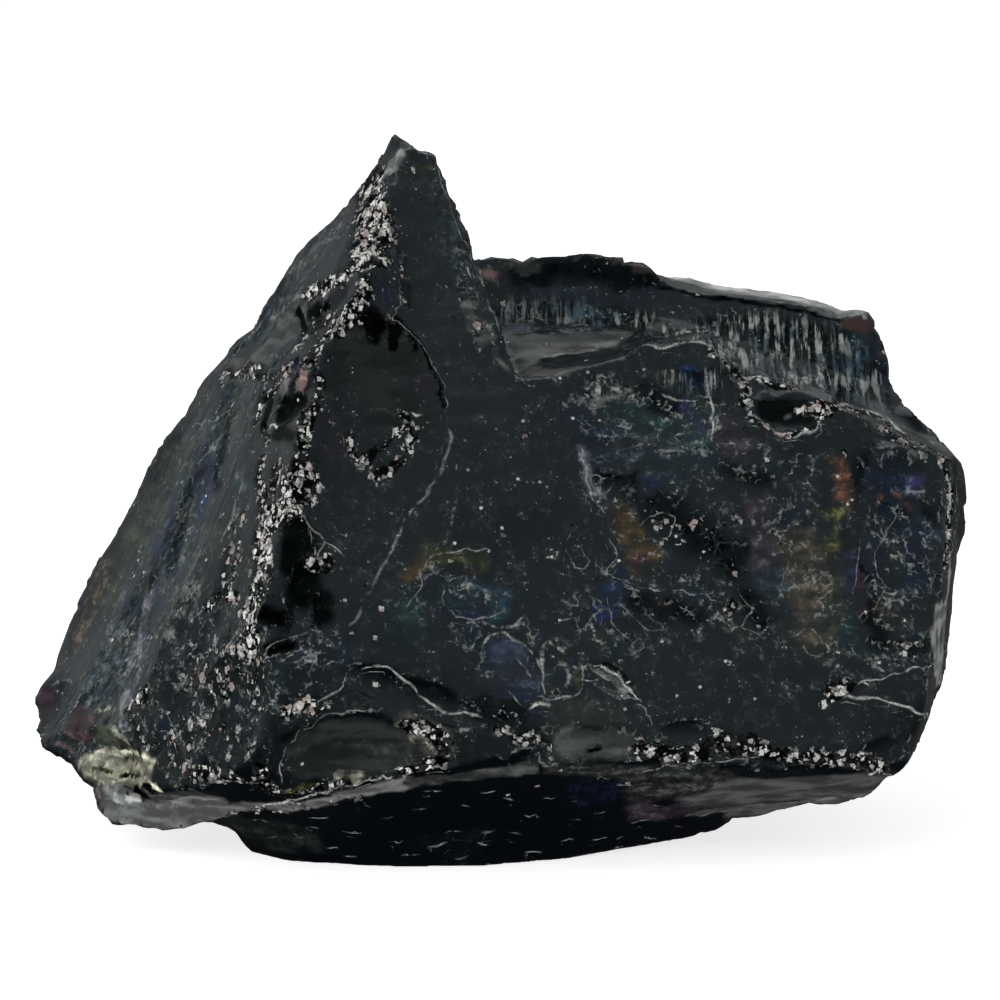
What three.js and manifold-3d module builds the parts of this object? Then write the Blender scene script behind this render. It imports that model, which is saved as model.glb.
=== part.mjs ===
// A lump of black slag glass: cooled furnace slag, broken from a larger mass.
// It is one piece of glass, so it is one mesh. Its faces are fracture faces that meet in sharp
// ridges; flakes have sprung off the faces and splinters off the ridges.
// Millimetres, +Z up. +X runs along the lump's length, and -Y is its tall front face.
// The origin is under the middle of the lump, on the surface that it rests on.

import * as THREE from "three";
import { mergeVertices } from "three/addons/utils/BufferGeometryUtils.js";
import { ImprovedNoise } from "three/addons/math/ImprovedNoise.js";
import Module from "manifold-3d";

const STEP = 4; // length of a triangle's edge on the fracture faces
const LONGEST = 1.35 * STEP; // greatest length of an edge inside a face
const SWELL = { height: 0.45, width: 9 }; // slow unevenness of a fracture face
const WAVER = { height: 0.5, width: 3.5, shift: 40 }; // sideways waver of a ridge
const NIBBLE = { height: 1.2, width: 1.7, shift: 200 }; // notches in a ridge's crest
const REST_MARGIN = 2; // height over which the unevenness fades in above the resting face
const BOWL = { facet: 3.8, fewest: 10, rings: 12 }; // facets along a scar's rim, and across it
const BOWL_WAVER = { share: 0.22, width: 0.6 }; // unevenness of a scar's rim, in shares of its size
const CAP = 5; // half thickness of the ball whose cap is a scar, in scar depths
const SPREAD = 0.6; // how far out in a scar its direction is taken, as a share of its size
const SEED = 20;

// The corners of the lump, in lines that run along it. A corner's name is its line and its place
// in that line, so ridge0 is the highest corner of the main ridge.
const LINES = {
  // The broken point at the top.
  tip: [
    [-10.7, 3, 69.4],
    [-9.6, 1, 68.4],
    [-6.1, 3, 67.4],
    [-11, -2.5, 65.8],
    [-13, 4, 64.8],
    [-9, 8, 66.4],
  ],
  // The crushed main ridge, from the point down to the front lower corner.
  ridge: [
    [-11, -5.5, 62],
    [-11.5, -9, 58],
    [-14.5, -12.5, 54.5],
    [-17.5, -16.5, 49],
    [-18.5, -19.5, 43],
    [-20, -23, 36.5],
    [-21.5, -26, 29.5],
    [-23, -28, 23.5],
    [-24.5, -28.5, 17],
    [-26, -26, 10.5],
  ],
  // The left edge, from the point down and round the low left corner to the foot.
  left: [
    [-19.9, 6, 57],
    [-23.6, 7, 51.5],
    [-26.5, 8, 47.5],
    [-30.1, 8, 43.5],
    [-35.5, 8, 34.5],
    [-41, 8, 25],
    [-45.4, 7, 14.5],
    [-47.5, 2, 10.6],
    [-45.8, -3, 8.1],
    [-40, -9, 5.9],
    [-38.5, -13.2, 2.4],
    [-36, -14.7, 1.2],
    [-31, -16, 3],
    [-26.5, -17, 4.5],
  ],
  // The curved head of the scar high on the left face, and the step at its foot.
  arc: [
    [-16.5, -6, 56],
    [-21, -0.5, 53],
  ],
  step: [
    [-26, 0, 46.5],
    [-21, -9, 47.5],
  ],
  // The swell that parts the left face into an outer and an inner half.
  swell: [
    [-28, -5, 37],
    [-31.5, -9, 28.5],
    [-35, -12, 20],
    [-39.5, -10, 13.5],
  ],
  // The lower edge of the front, which overhangs the foot, from left to right.
  low: [
    [-34, -18, 7.5],
    [-29, -22, 8],
    [-20.5, -26.5, 9],
    [-15, -27, 10],
    [-12.5, -27, 11],
    [-6.5, -27, 12],
    [0, -26.5, 12.5],
    [4.5, -26, 11.5],
    [9.5, -25.5, 12],
    [13.5, -25.5, 12],
    [19, -24.5, 11],
    [25, -23.5, 11],
    [31, -22, 10.5],
    [39.4, -18.6, 9],
  ],
  // The free edge of the blade, from under the point down to the shelf.
  blade: [
    [-3.9, 1, 62.5],
    [-2, -1.5, 57],
    [0.5, -5, 51],
    [2, -7.5, 46],
  ],
  // The faint seam between the smooth and the weathered half of the front.
  seam: [
    [5, -8.5, 44],
    [8.5, -9.5, 40.5],
    [10.5, -13, 34.5],
    [12, -17, 27],
    [13, -22, 18.5],
  ],
  // The upper edge of the weathered front, from the blade to the right corner.
  brow: [
    [10.5, -6, 47],
    [14.5, -3.5, 49],
    [20.5, -3.5, 49.5],
    [24.5, -6, 46],
    [33, -6, 43.5],
    [40, -5, 40],
    [44, -3.5, 38],
  ],
  // The right edge of the front, and the right outline behind it, from the top down.
  cheek: [
    [44, -8, 28.5],
    [42.5, -13, 21.5],
    [41.5, -16.5, 16],
  ],
  right: [
    [38, 9, 49.6],
    [40, 6, 43.5],
    [43, 4, 41],
    [45, 2, 38.7],
    [47.4, 1, 36.3],
    [47, 1, 30.5],
    [46.1, 0, 24],
    [45.5, -2, 18.5],
    [44.3, -6, 14.8],
    [41.9, -11, 11.2],
  ],
  // The hollow behind the brow: its floor, its cove, the rim above and the crest behind that.
  shelf: [
    [1, 0, 45.5],
    [3, 3, 47.5],
    [9, 3.5, 47.5],
    [15, 3, 49],
    [21.5, 2, 49.5],
  ],
  cove: [
    [-0.5, 8.5, 50],
    [4.5, 9.5, 50],
    [11.5, 9.5, 50.5],
    [18.5, 7.5, 50],
    [26, 5, 48],
    [32.5, 3, 46],
  ],
  rim: [
    [-2.5, 12, 55.5],
    [0.5, 13, 56],
    [5, 13, 56.1],
    [11, 13, 56.4],
    [14.5, 11.5, 55.2],
    [19.5, 10.5, 52.5],
    [29, 9.5, 51.5],
    [35, 8.5, 50],
  ],
  crest: [
    [17, 17, 53.3],
    [22.5, 18, 52.2],
    [31, 17, 51.2],
    [37.6, 12, 50.2],
  ],
  // The foot that it rests on, anticlockwise from the left, and the bevel that climbs from it
  // to the right.
  foot: [
    [-26.2, -12.7, 2.2],
    [-24.4, -13.7, 0],
    [-20.3, -17.5, 0],
    [-9.7, -19.8, 0],
    [-2, -19.5, 0],
    [6, -16.8, 0],
    [14, -10.5, 0],
    [17, 2, 0],
    [12, 14, 0],
    [0, 19, 0],
    [-14, 17, 0],
    [-24, 7, 0],
    [-25, -7, 0],
  ],
  bevel: [
    [15, -13, 0.6],
    [19.5, -13.5, 1.4],
    [23.5, -13, 2.9],
    [28, -13, 3.9],
    [33, -14, 4.7],
    [36.2, -15.5, 5.9],
  ],
  under: [
    [-37, 0, 5],
    [-33, 14, 5],
  ],
  // The back: two rows that go round it from left to right.
  backHigh: [
    [-16, 15, 56],
    [-28, 19, 41],
    [-38, 19, 28],
    [-6, 17, 54],
    [4, 24, 46],
    [19, 27, 42],
    [33, 24, 39],
    [43, 13, 34],
  ],
  backLow: [
    [-42, 14, 13],
    [-33, 26, 17],
    [-20, 29, 30],
    [-14, 28, 9],
    [0, 32, 28],
    [10, 29, 9],
    [22, 30, 23],
    [31, 18, 8],
    [38, 20, 20],
    [44, 10, 21],
  ],
};

// Each fracture face: its corners, anticlockwise as seen from outside, and how far its middle is
// hollowed (a minus sign means that it bulges).
const FACES = [
  // the point
  ["tip0 tip4 tip3 tip1", 0.2],
  ["tip0 tip1 tip2 tip5", 0.2],
  // the left face
  ["tip4 left0 left1 arc1 arc0 ridge1 ridge0 tip3", 0.4],
  ["arc0 arc1 left1 left2 step0 step1 ridge3 ridge2 ridge1", 1.3],
  ["left2 left3 step0", 0],
  ["step0 left3 left4 left5 left6 swell3 swell2 swell1 swell0", 0.7],
  [
    "step1 step0 swell0 swell1 swell2 swell3 low0 low1 ridge9 ridge8 ridge7 ridge6 ridge5 ridge4 ridge3",
    0.5,
  ],
  ["left6 left7 left8 swell3", 0.3],
  ["swell3 left8 left9 low0", 0.6],
  ["low0 left9 left10 left11 left12 left13 low2 ridge9 low1", 0.8],
  // the smooth half of the front
  ["tip1 tip3 ridge0 ridge1 ridge2 ridge3 blade3 blade2 blade1 blade0 tip2", 0.5],
  ["ridge3 ridge4 ridge5 seam2 seam1 seam0 blade3", 0.4],
  ["ridge5 ridge6 ridge7 seam4 seam3 seam2", 0.6],
  [
    "ridge7 ridge8 ridge9 low2 low3 low4 low5 low6 low7 low8 low9 seam4",
    -0.6,
  ],
  // the weathered half of the front
  ["blade3 seam0 seam1 seam2 brow3 brow2 brow1 brow0", 0.8],
  [
    "seam2 seam3 seam4 low9 low10 low11 low12 low13 cheek2 cheek1 cheek0 brow6 brow5 brow4 brow3",
    -0.5,
  ],
  // the right end
  ["brow6 cheek0 cheek1 cheek2 low13 right9 right8 right7 right6 right5 right4", 0],
  ["cove5 brow4 brow5 brow6 right4 right3 right2 right1 right0 crest3 rim7", 1.2],
  // the hollow behind the brow
  ["blade3 brow0 brow1 brow2 shelf4 shelf3 shelf2 shelf1 shelf0", 0.3],
  ["shelf0 shelf1 cove1 cove0", 0.3],
  ["shelf1 shelf2 cove2 cove1", 0.3],
  ["shelf2 shelf3 cove3 cove2", 0.3],
  ["shelf3 shelf4 brow2 brow3 cove4 cove3", 0.4],
  ["brow3 brow4 cove5 cove4", 0.5],
  ["cove0 cove1 rim2 rim1 rim0", 0.5],
  ["cove1 cove2 rim3 rim2", 0.5],
  ["cove2 cove3 rim5 rim4 rim3", 0.5],
  ["cove3 cove4 rim6 rim5", 0.4],
  ["cove4 cove5 rim7 rim6", 0.3],
  ["rim4 rim5 rim6 rim7 crest3 crest2 crest1 crest0", 0.2],
  ["tip2 blade0 blade1 blade2 blade3 shelf0 cove0 rim0 backHigh3 tip5", 0.8],
  // below the overhang
  [
    "low2 left13 foot0 foot1 foot2 foot3 foot4 foot5 bevel0 bevel1 low10 low9 low8 low7 low6 low5 low4 low3",
    0.8,
  ],
  ["low10 bevel1 bevel2 bevel3 bevel4 bevel5 right9 low13 low12 low11", 0.4],
  // the back
  ["tip0 tip5 backHigh3 backHigh0 left0 tip4", 0.9],
  ["left0 backHigh0 backHigh1 left4 left3 left2 left1", 0.8],
  ["left4 backHigh1 backHigh2 left6 left5", 0.8],
  ["left6 backHigh2 backLow0 left7", 0.5],
  ["left7 backLow0 under1 under0 left9 left8", 0.5],
  ["backHigh3 backHigh4 backLow4 backLow2 backHigh1 backHigh0", 1.8],
  ["backHigh1 backLow2 backLow1 backLow0 backHigh2", 1.0],
  ["rim0 rim1 rim2 rim3 rim4 crest0 crest1 crest2 backHigh5 backHigh4 backHigh3", 1.0],
  ["crest2 crest3 right0 right1 backHigh7 backHigh6 backHigh5", 0.8],
  ["backHigh4 backHigh5 backHigh6 backLow8 backLow6 backLow4", 1.6],
  ["right1 right2 right3 right4 right5 backLow9 backHigh7", 0.5],
  ["backHigh7 backLow9 backLow8 backHigh6", 0.5],
  ["right5 right6 right7 right8 right9 bevel5 backLow7 backLow8 backLow9", 0.9],
  ["backLow4 backLow6 backLow5 backLow3 backLow1 backLow2", 1.0],
  ["backLow1 backLow3 foot10 under1 backLow0", 0.8],
  ["backLow6 backLow8 backLow7 backLow5", 0.7],
  // the underside
  ["left9 under0 foot11 foot12 foot0 left13 left12 left11 left10", 0.8],
  ["under0 under1 foot10 foot11", 0.4],
  ["backLow3 backLow5 foot8 foot9 foot10", 0.8],
  ["backLow5 backLow7 bevel5 bevel4 bevel3 foot7 foot8", 0.6],
  ["bevel3 bevel2 bevel1 bevel0 foot5 foot6 foot7", 0.2],
  ["foot0 foot12 foot1", 0],
  ["foot1 foot12 foot11 foot10 foot9 foot8 foot7 foot6 foot5 foot4 foot3 foot2", 0],
];

// The scars that flakes left in the faces. Each is a shallow bowl: the middle of the scar as seen
// from that side (sideways, then height), its half width and half height, its depth, and its turn
// in degrees, anticlockwise as seen.
const SCARS = [
  // beside the main ridge, from the top down
  { side: "front", at: [-12.9, 41], size: [8, 16], deep: 1.7, turn: -15 },
  { side: "front", at: [-10.8, 43.2], size: [4.6, 4.4], deep: 1.9, turn: 0 },
  { side: "front", at: [-11.1, 51.3], size: [2.8, 1.7], deep: 1, turn: 0 },
  { side: "front", at: [-18.2, 27.8], size: [1.9, 4.8], deep: 1.5, turn: -14 },
  { side: "front", at: [-19.8, 23.4], size: [2.9, 1.5], deep: 0.9, turn: 10 },
  // low on the front
  { side: "front", at: [-13.3, 13.4], size: [8.5, 4.3], deep: 1.4, turn: 9 },
  { side: "front", at: [-8.3, 18.4], size: [7, 2.2], deep: 1.3, turn: -20 },
  { side: "front", at: [1.9, 20.8], size: [4.5, 3.9], deep: 0.6, turn: -20 },
  { side: "front", at: [10.7, 19.1], size: [2.8, 1.3], deep: 0.5, turn: -32 },
  { side: "front", at: [8.6, 13.8], size: [3.3, 1.4], deep: 0.6, turn: 0 },
  // in the weathered face
  { side: "front", at: [28.3, 43], size: [3.6, 2.4], deep: 1.5, turn: -8 },
  { side: "front", at: [18.2, 14.2], size: [3, 1.5], deep: 0.9, turn: 0 },
  { side: "front", at: [13.7, 43.4], size: [6.3, 3.9], deep: 0.7, turn: -22 },
  { side: "front", at: [27.2, 26.5], size: [6.6, 7.7], deep: 0.5, turn: 20 },
  { side: "front", at: [37.1, 10.8], size: [2.9, 1.9], deep: 0.9, turn: 25 },
  { side: "front", at: [39.9, 34.5], size: [3.5, 4.6], deep: 0.6, turn: 0 },
  // the low left corner and the left face
  { side: "front", at: [-37.1, 8.6], size: [4.6, 2.6], deep: 1.1, turn: -10 },
  { side: "front", at: [-44.6, 11.7], size: [3, 4], deep: 0.8, turn: 0 },
  { side: "front", at: [-28.5, 36.7], size: [5.6, 12.5], deep: 0.8, turn: -30 },
  { side: "front", at: [-35.7, 22.8], size: [6, 10.5], deep: 0.7, turn: -24 },
  { side: "front", at: [-27.3, 17.5], size: [7.5, 6], deep: 0.7, turn: -10 },
  { side: "front", at: [-20.3, 44.6], size: [4.2, 2.4], deep: 1, turn: 0 },
  { side: "front", at: [-23, 50.2], size: [5.2, 3.2], deep: 0.9, turn: 25 },
  // the back, where left and right change places
  { side: "back", at: [-14, 34], size: [13, 8.5], deep: 2.2, turn: 12 },
  { side: "back", at: [14, 44], size: [8.5, 9.5], deep: 1.9, turn: -20 },
  { side: "back", at: [27, 22], size: [6.5, 6], deep: 1.4, turn: 0 },
  { side: "back", at: [-6, 18], size: [9, 4.5], deep: 1.4, turn: -8 },
  { side: "back", at: [-34, 30], size: [5, 6], deep: 1, turn: 30 },
  { side: "back", at: [-8, 51], size: [7, 2.8], deep: 0.9, turn: 5 },
  // the two ends
  { side: "right", at: [6, 20], size: [5.5, 4.6], deep: 1.2, turn: 0 },
  { side: "right", at: [14, 40], size: [4.4, 3.2], deep: 0.9, turn: -15 },
  { side: "left", at: [-15, 30], size: [4.6, 7.2], deep: 1.1, turn: 10 },
  { side: "left", at: [-9, 12], size: [4.4, 3.4], deep: 0.9, turn: -10 },
];

// The ridges that are crushed along their length, each as its corners, with the spacing of the
// chips that are out of it.
const CRUSHED = [
  { along: "tip3 ridge0 ridge1 ridge2 ridge3 ridge4 ridge5 ridge6 ridge7 ridge8 ridge9", every: 4.6 },
  { along: "low2 low3 low5 low6 low7 low8 low9 low10 low11 low12 low13", every: 8 },
  { along: "brow2 brow3 brow4 brow5 brow6 cheek0 cheek1 cheek2", every: 8 },
  { along: "step0 step1 ridge3", every: 4 },
  { along: "right0 right1 right3 right4 right5 right6", every: 9 },
  { along: "backHigh1 backLow2 backLow4 backLow6", every: 15 },
  { along: "backLow1 backLow3 backLow5 backLow7", every: 15 },
];
// A chip out of a crushed ridge: the least and most of its radius, its depth and its flatness, and
// how far it leans along the ridge.
const CHIP = { radius: [1.8, 4.2], deep: [0.7, 1.5], flat: [0.7, 1.3], lean: 0.8 };

// The direction that each side looks, and the one that runs rightwards across it.
const SIDES = {
  front: { looks: [0, -1, 0], across: [1, 0, 0] },
  back: { looks: [0, 1, 0], across: [-1, 0, 0] },
  right: { looks: [1, 0, 0], across: [0, 1, 0] },
  left: { looks: [-1, 0, 0], across: [0, -1, 0] },
};

const noise = new ImprovedNoise();
const UP = new THREE.Vector3(0, 0, 1);
const MIDDLE = new THREE.Vector3(0, 2, 25); // a point deep inside the lump
const FAR = 200; // a distance that is well outside the lump
const WELD = 1e-4; // points of a cutting shape that are closer than this are made one

// The corner of that name, such as ridge3.
function corner(name) {
  const [, line, place] = name.match(/^(\D+)(\d+)$/);
  return new THREE.Vector3(...LINES[line][place]);
}

// The whole surface: its points, which of them lie on a ridge, and its triangles. Neighbouring
// faces share the points of the ridge between them, so the surface is closed.
function fractureSurface() {
  const points = [];
  const ridges = new Map();
  const corners = new Map();
  const cornerPoint = (name) => {
    if (!corners.has(name)) corners.set(name, points.push(corner(name)) - 1);
    return corners.get(name);
  };
  const ridge = (from, to) => {
    if (from > to) return ridge(to, from).toReversed();
    const key = `${from} ${to}`;
    if (!ridges.has(key)) {
      const [a, b] = [corner(from), corner(to)];
      const parts = Math.ceil(a.distanceTo(b) / STEP);
      const between = Array.from({ length: parts - 1 }, (_, k) =>
        points.push(a.clone().lerp(b, (k + 1) / parts)) - 1,
      );
      ridges.set(key, [cornerPoint(from), ...between, cornerPoint(to)]);
    }
    return ridges.get(key);
  };
  const rings = FACES.map(([names]) => {
    const list = names.split(" ");
    return list.flatMap((from, i) => ridge(from, list[(i + 1) % list.length]).slice(0, -1));
  });
  const ridgePoints = points.length;
  const triangles = rings.flatMap((ring, i) => face(points, ring, FACES[i][1]));
  points.slice(0, ridgePoints).forEach(breakRidge);
  return { points, triangles };
}

// Fills a ring of ridge points with a fracture face, and returns its triangles.
function face(points, ring, hollow) {
  const looks = outward(ring.map((i) => points[i]));
  const x = new THREE.Vector3().subVectors(points[ring[1]], points[ring[0]]);
  x.addScaledVector(looks, -x.dot(looks)).normalize();
  const y = new THREE.Vector3().crossVectors(looks, x);
  const outline = ring.map((i) => new THREE.Vector2(points[i].dot(x), points[i].dot(y)));
  let triangles = THREE.ShapeUtils.triangulateShape(outline, []).map((t) => t.map((i) => ring[i]));
  const firstInner = points.length;
  const edges = new Set(ring.map((a, i) => edgeKey(a, ring[(i + 1) % ring.length])));
  for (let grown = true; grown; ) {
    triangles = flipped(points, triangles);
    const before = triangles.length;
    triangles = halved(points, triangles, edges);
    grown = triangles.length > before;
  }
  stretch(points, triangles, firstInner);
  triangles = flipped(points, triangles);
  hollowOut(points, firstInner, ring, looks, hollow);
  return triangles;
}

// A ring's outward direction, by the sum over its edges, which suits a ring that isn't flat.
function outward(points) {
  const sum = new THREE.Vector3();
  points.forEach((p, i) => {
    sum.add(new THREE.Vector3().crossVectors(p, points[(i + 1) % points.length]));
  });
  return sum.normalize();
}

function edgeKey(a, b) {
  return a < b ? `${a} ${b}` : `${b} ${a}`;
}

// Halves the face's own edges that are longer than STEP. The ring's edges stay as they are.
function halved(points, triangles, ringEdges) {
  const halves = new Map();
  const half = (a, b) => {
    const key = edgeKey(a, b);
    if (!halves.has(key)) {
      const isWhole = ringEdges.has(key) || points[a].distanceTo(points[b]) < LONGEST;
      halves.set(key, isWhole ? -1 : points.push(points[a].clone().lerp(points[b], 0.5)) - 1);
    }
    return halves.get(key);
  };
  return triangles.flatMap(([a, b, c]) => split([a, b, c], [half(a, b), half(b, c), half(c, a)]));
}

// One triangle cut at the middles of its edges, where -1 means that an edge stays whole.
function split([a, b, c], [ab, bc, ca]) {
  const cuts = [ab, bc, ca].filter((m) => m >= 0).length;
  if (cuts === 0) return [[a, b, c]];
  if (cuts === 3) return [[a, ab, ca], [ab, b, bc], [ca, bc, c], [ab, bc, ca]];
  if (ab < 0) return split([b, c, a], [bc, ca, ab]);
  if (cuts === 1 && bc < 0) return [[a, ab, c], [ab, b, c]];
  if (cuts === 2 && bc >= 0) return [[ab, b, bc], [a, ab, bc], [a, bc, c]];
  return split([c, a, b], [ca, ab, bc]);
}

// Swaps the shared edge of two triangles wherever the other diagonal gives better shaped ones.
function flipped(points, triangles) {
  const list = triangles.map((t) => [...t]);
  const SWEEPS = 12;
  const LEAST_GAIN = 0.01; // radians
  for (let sweep = 0; sweep < SWEEPS; sweep++) {
    const owners = new Map();
    list.forEach(([a, b, c], i) => {
      for (const [from, to, far] of [[a, b, c], [b, c, a], [c, a, b]]) {
        const key = edgeKey(from, to);
        owners.set(key, [...(owners.get(key) ?? []), { i, from, to, far }]);
      }
    });
    const touched = new Set();
    for (const [one, other] of owners.values()) {
      if (!other || touched.has(one.i) || touched.has(other.i)) continue;
      const wide = angle(points, one.far, one.from, one.to) + angle(points, other.far, one.from, one.to);
      if (wide < Math.PI + LEAST_GAIN) continue;
      if (owners.has(edgeKey(one.far, other.far))) continue;
      list[one.i] = [one.far, one.from, other.far];
      list[other.i] = [other.far, one.to, one.far];
      touched.add(one.i).add(other.i);
    }
    if (touched.size === 0) break;
  }
  return list;
}

// The angle at a point between the directions to two others.
function angle(points, at, from, to) {
  const u = new THREE.Vector3().subVectors(points[from], points[at]);
  const v = new THREE.Vector3().subVectors(points[to], points[at]);
  return u.angleTo(v);
}

// Moves the inner points to the middle of their neighbours, so that the face is stretched
// smoothly across a ring that isn't flat.
function stretch(points, triangles, firstInner) {
  const ROUNDS = 30;
  const neighbours = new Map();
  for (const [a, b, c] of triangles) {
    for (const [p, q] of [[a, b], [b, c], [c, a], [b, a], [c, b], [a, c]]) {
      if (p >= firstInner) neighbours.set(p, (neighbours.get(p) ?? new Set()).add(q));
    }
  }
  for (let round = 0; round < ROUNDS; round++) {
    for (const [p, around] of neighbours) {
      points[p].set(0, 0, 0);
      around.forEach((q) => points[p].add(points[q]));
      points[p].divideScalar(around.size);
    }
  }
}

// Hollows the face, deepest where it is furthest from its ring, and makes it gently uneven.
function hollowOut(points, firstInner, ring, looks, hollow) {
  const sides = ring.map((a, i) => new THREE.Line3(points[a], points[ring[(i + 1) % ring.length]]));
  const nearest = new THREE.Vector3();
  const inner = points.slice(firstInner);
  const reach = inner.map((p) =>
    Math.min(...sides.map((s) => s.closestPointToPoint(p, true, nearest).distanceTo(p))),
  );
  const furthest = Math.max(...reach);
  inner.forEach((p, i) => {
    const t = reach[i] / furthest;
    const swell = SWELL.height * noiseAt(p, SWELL.width, 0) * Math.min(1, reach[i] / STEP);
    p.addScaledVector(looks, swell * restFade(p) - hollow * t * (2 - t));
  });
}

// Makes the ridge waver at this point, and breaks some of its crest away.
function breakRidge(p) {
  const shifts = [1, 2, 3].map((k) => WAVER.height * noiseAt(p, WAVER.width, WAVER.shift * k));
  const inward = new THREE.Vector3().subVectors(MIDDLE, p).normalize();
  const depth = NIBBLE.height * Math.max(0, noiseAt(p, NIBBLE.width, NIBBLE.shift));
  p.add(new THREE.Vector3(...shifts).addScaledVector(inward, depth).multiplyScalar(restFade(p)));
}

function restFade(p) {
  return THREE.MathUtils.clamp(p.z / REST_MARGIN, 0, 1);
}

function noiseAt(p, width, shift) {
  return noise.noise(p.x / width + shift, p.y / width, p.z / width);
}

function geometryFrom({ points, triangles }) {
  const geometry = new THREE.BufferGeometry();
  const places = points.flatMap((p) => p.toArray());
  geometry.setAttribute("position", new THREE.Float32BufferAttribute(places, 3));
  geometry.setIndex(triangles.flat());
  return geometry;
}

// A closed geometry as a solid that can be cut.
function solidFrom(geometry, wasm) {
  const bare = geometry.clone();
  bare.deleteAttribute("normal");
  bare.deleteAttribute("uv");
  const merged = mergeVertices(bare, WELD);
  const vertProperties = new Float32Array(merged.attributes.position.array);
  const triVerts = new Uint32Array(merged.index.array);
  return new wasm.Manifold(new wasm.Mesh({ numProp: 3, vertProperties, triVerts }));
}

// The lens of glass that a flake took with it. It lies on the surface, and its axis is the mean
// direction that the surface looks there. The ball's middle is outside the glass, so that only a
// cap of it, as deep as the scar, reaches in.
function lens({ side, at, size, deep, turn }, surface) {
  const looks = new THREE.Vector3(...SIDES[side].looks);
  const across = new THREE.Vector3(...SIDES[side].across);
  const hits = [[0, 0], [1, 0], [-1, 0], [0, 1], [0, -1]].flatMap(([u, v]) => {
    const [right, up] = [at[0] + SPREAD * u * size[0], at[1] + SPREAD * v * size[1]];
    const start = across.clone().multiplyScalar(right).addScaledVector(UP, up);
    start.addScaledVector(looks, FAR);
    return new THREE.Raycaster(start, looks.clone().negate()).intersectObject(surface).slice(0, 1);
  });
  const z = hits.reduce((sum, hit) => sum.add(hit.face.normal), new THREE.Vector3()).normalize();
  const x = across.addScaledVector(z, -across.dot(z)).normalize();
  const y = new THREE.Vector3().crossVectors(z, x);

  const rimShare = Math.sqrt(1 - (1 - 1 / CAP) ** 2);
  const sides = Math.max(BOWL.fewest, Math.round((Math.PI * (size[0] + size[1])) / BOWL.facet));
  const ball = new THREE.SphereGeometry(1, sides, BOWL.rings);
  ball.rotateX(Math.PI / 2);
  waverRim(ball, at[0] + at[1]);
  ball.scale(size[0] / rimShare, size[1] / rimShare, CAP * deep);
  ball.rotateZ(THREE.MathUtils.degToRad(turn));
  ball.applyMatrix4(new THREE.Matrix4().makeBasis(x, y, z));
  const middle = hits[0].point.clone().addScaledVector(z, (CAP - 1) * deep);
  return ball.translate(...middle.toArray());
}

// Makes a ball's outline uneven as seen along its axis. The shift makes each outline its own.
function waverRim(ball, shift) {
  const { position } = ball.attributes;
  for (let i = 0; i < position.count; i++) {
    const [x, y] = [position.getX(i), position.getY(i)];
    const wave = noise.noise(x / BOWL_WAVER.width + shift, y / BOWL_WAVER.width, shift);
    const share = 1 + BOWL_WAVER.share * wave;
    position.setXY(i, x * share, y * share);
  }
}

// The flat-faced chips that are out of a crushed ridge, each of its own size, shape and turn.
function chips({ along, every }, random) {
  const path = along.split(" ").map(corner);
  return path.slice(1).flatMap((end, i) => {
    const count = Math.max(1, Math.round(path[i].distanceTo(end) / every));
    return Array.from({ length: count }, (_, k) => {
      const radius = THREE.MathUtils.lerp(CHIP.radius[0], CHIP.radius[1], random() ** 2);
      const deep = THREE.MathUtils.lerp(CHIP.deep[0], CHIP.deep[1], random());
      const chip = new THREE.IcosahedronGeometry(radius);
      chip.scale(1, THREE.MathUtils.lerp(CHIP.flat[0], CHIP.flat[1], random()), 1);
      chip.rotateX(random() * Math.PI);
      chip.rotateZ(random() * Math.PI);
      const ridge = path[i].clone().lerp(end, (k + random()) / count);
      const away = new THREE.Vector3().subVectors(ridge, MIDDLE).normalize();
      away.x += CHIP.lean * (random() - 0.5);
      away.z += CHIP.lean * (random() - 0.5);
      return chip.translate(...ridge.addScaledVector(away.normalize(), radius - deep).toArray());
    });
  });
}

// Evenly spread numbers from 0 to 1, the same ones each time.
function randomFrom(seed) {
  let state = seed;
  return () => {
    state = (state + 0x6d2b79f5) | 0;
    let t = Math.imul(state ^ (state >>> 15), 1 | state);
    t = (t + Math.imul(t ^ (t >>> 7), 61 | t)) ^ t;
    return ((t ^ (t >>> 14)) >>> 0) / 2 ** 32;
  };
}

// The finished solid as a geometry, with the origin under its middle.
function finished(solid) {
  const { vertProperties, triVerts } = solid.getMesh();
  const geometry = new THREE.BufferGeometry();
  geometry.setAttribute("position", new THREE.BufferAttribute(vertProperties, 3));
  geometry.setIndex(new THREE.BufferAttribute(triVerts, 1));
  geometry.computeBoundingBox();
  const { min, max } = geometry.boundingBox;
  geometry.translate(-(min.x + max.x) / 2, -(min.y + max.y) / 2, -min.z);
  geometry.computeVertexNormals();
  return geometry;
}

const wasm = await Module();
wasm.setup();

const unscarred = geometryFrom(fractureSurface());
const surface = new THREE.Mesh(unscarred);
const random = randomFrom(SEED);
const broken = [
  ...SCARS.map((scar) => lens(scar, surface)),
  ...CRUSHED.flatMap((ridge) => chips(ridge, random)),
].reduce((solid, cut) => solid.subtract(solidFrom(cut, wasm)), solidFrom(unscarred, wasm));

const glass = new THREE.MeshStandardMaterial({ color: 0x15181a, roughness: 0.22, metalness: 0 });
const cullet = new THREE.Mesh(finished(broken), glass);
cullet.name = "glass_cullet";

const lump = new THREE.Group();
lump.add(cullet);

export default lump;
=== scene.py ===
"""Looks for a lump of black slag glass: glossy fracture faces, crushed pale ridges, thin patina.

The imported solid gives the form. This script makes a finer surface on it, breaks and marks that
surface, and gives it one procedural glass material. Lengths are in millimetres until a mesh is
written, and from the floor on they are in metres.
"""

import math
import random

import bmesh
import bpy
import numpy as np
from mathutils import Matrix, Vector, kdtree, noise
from mathutils.bvhtree import BVHTree


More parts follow.
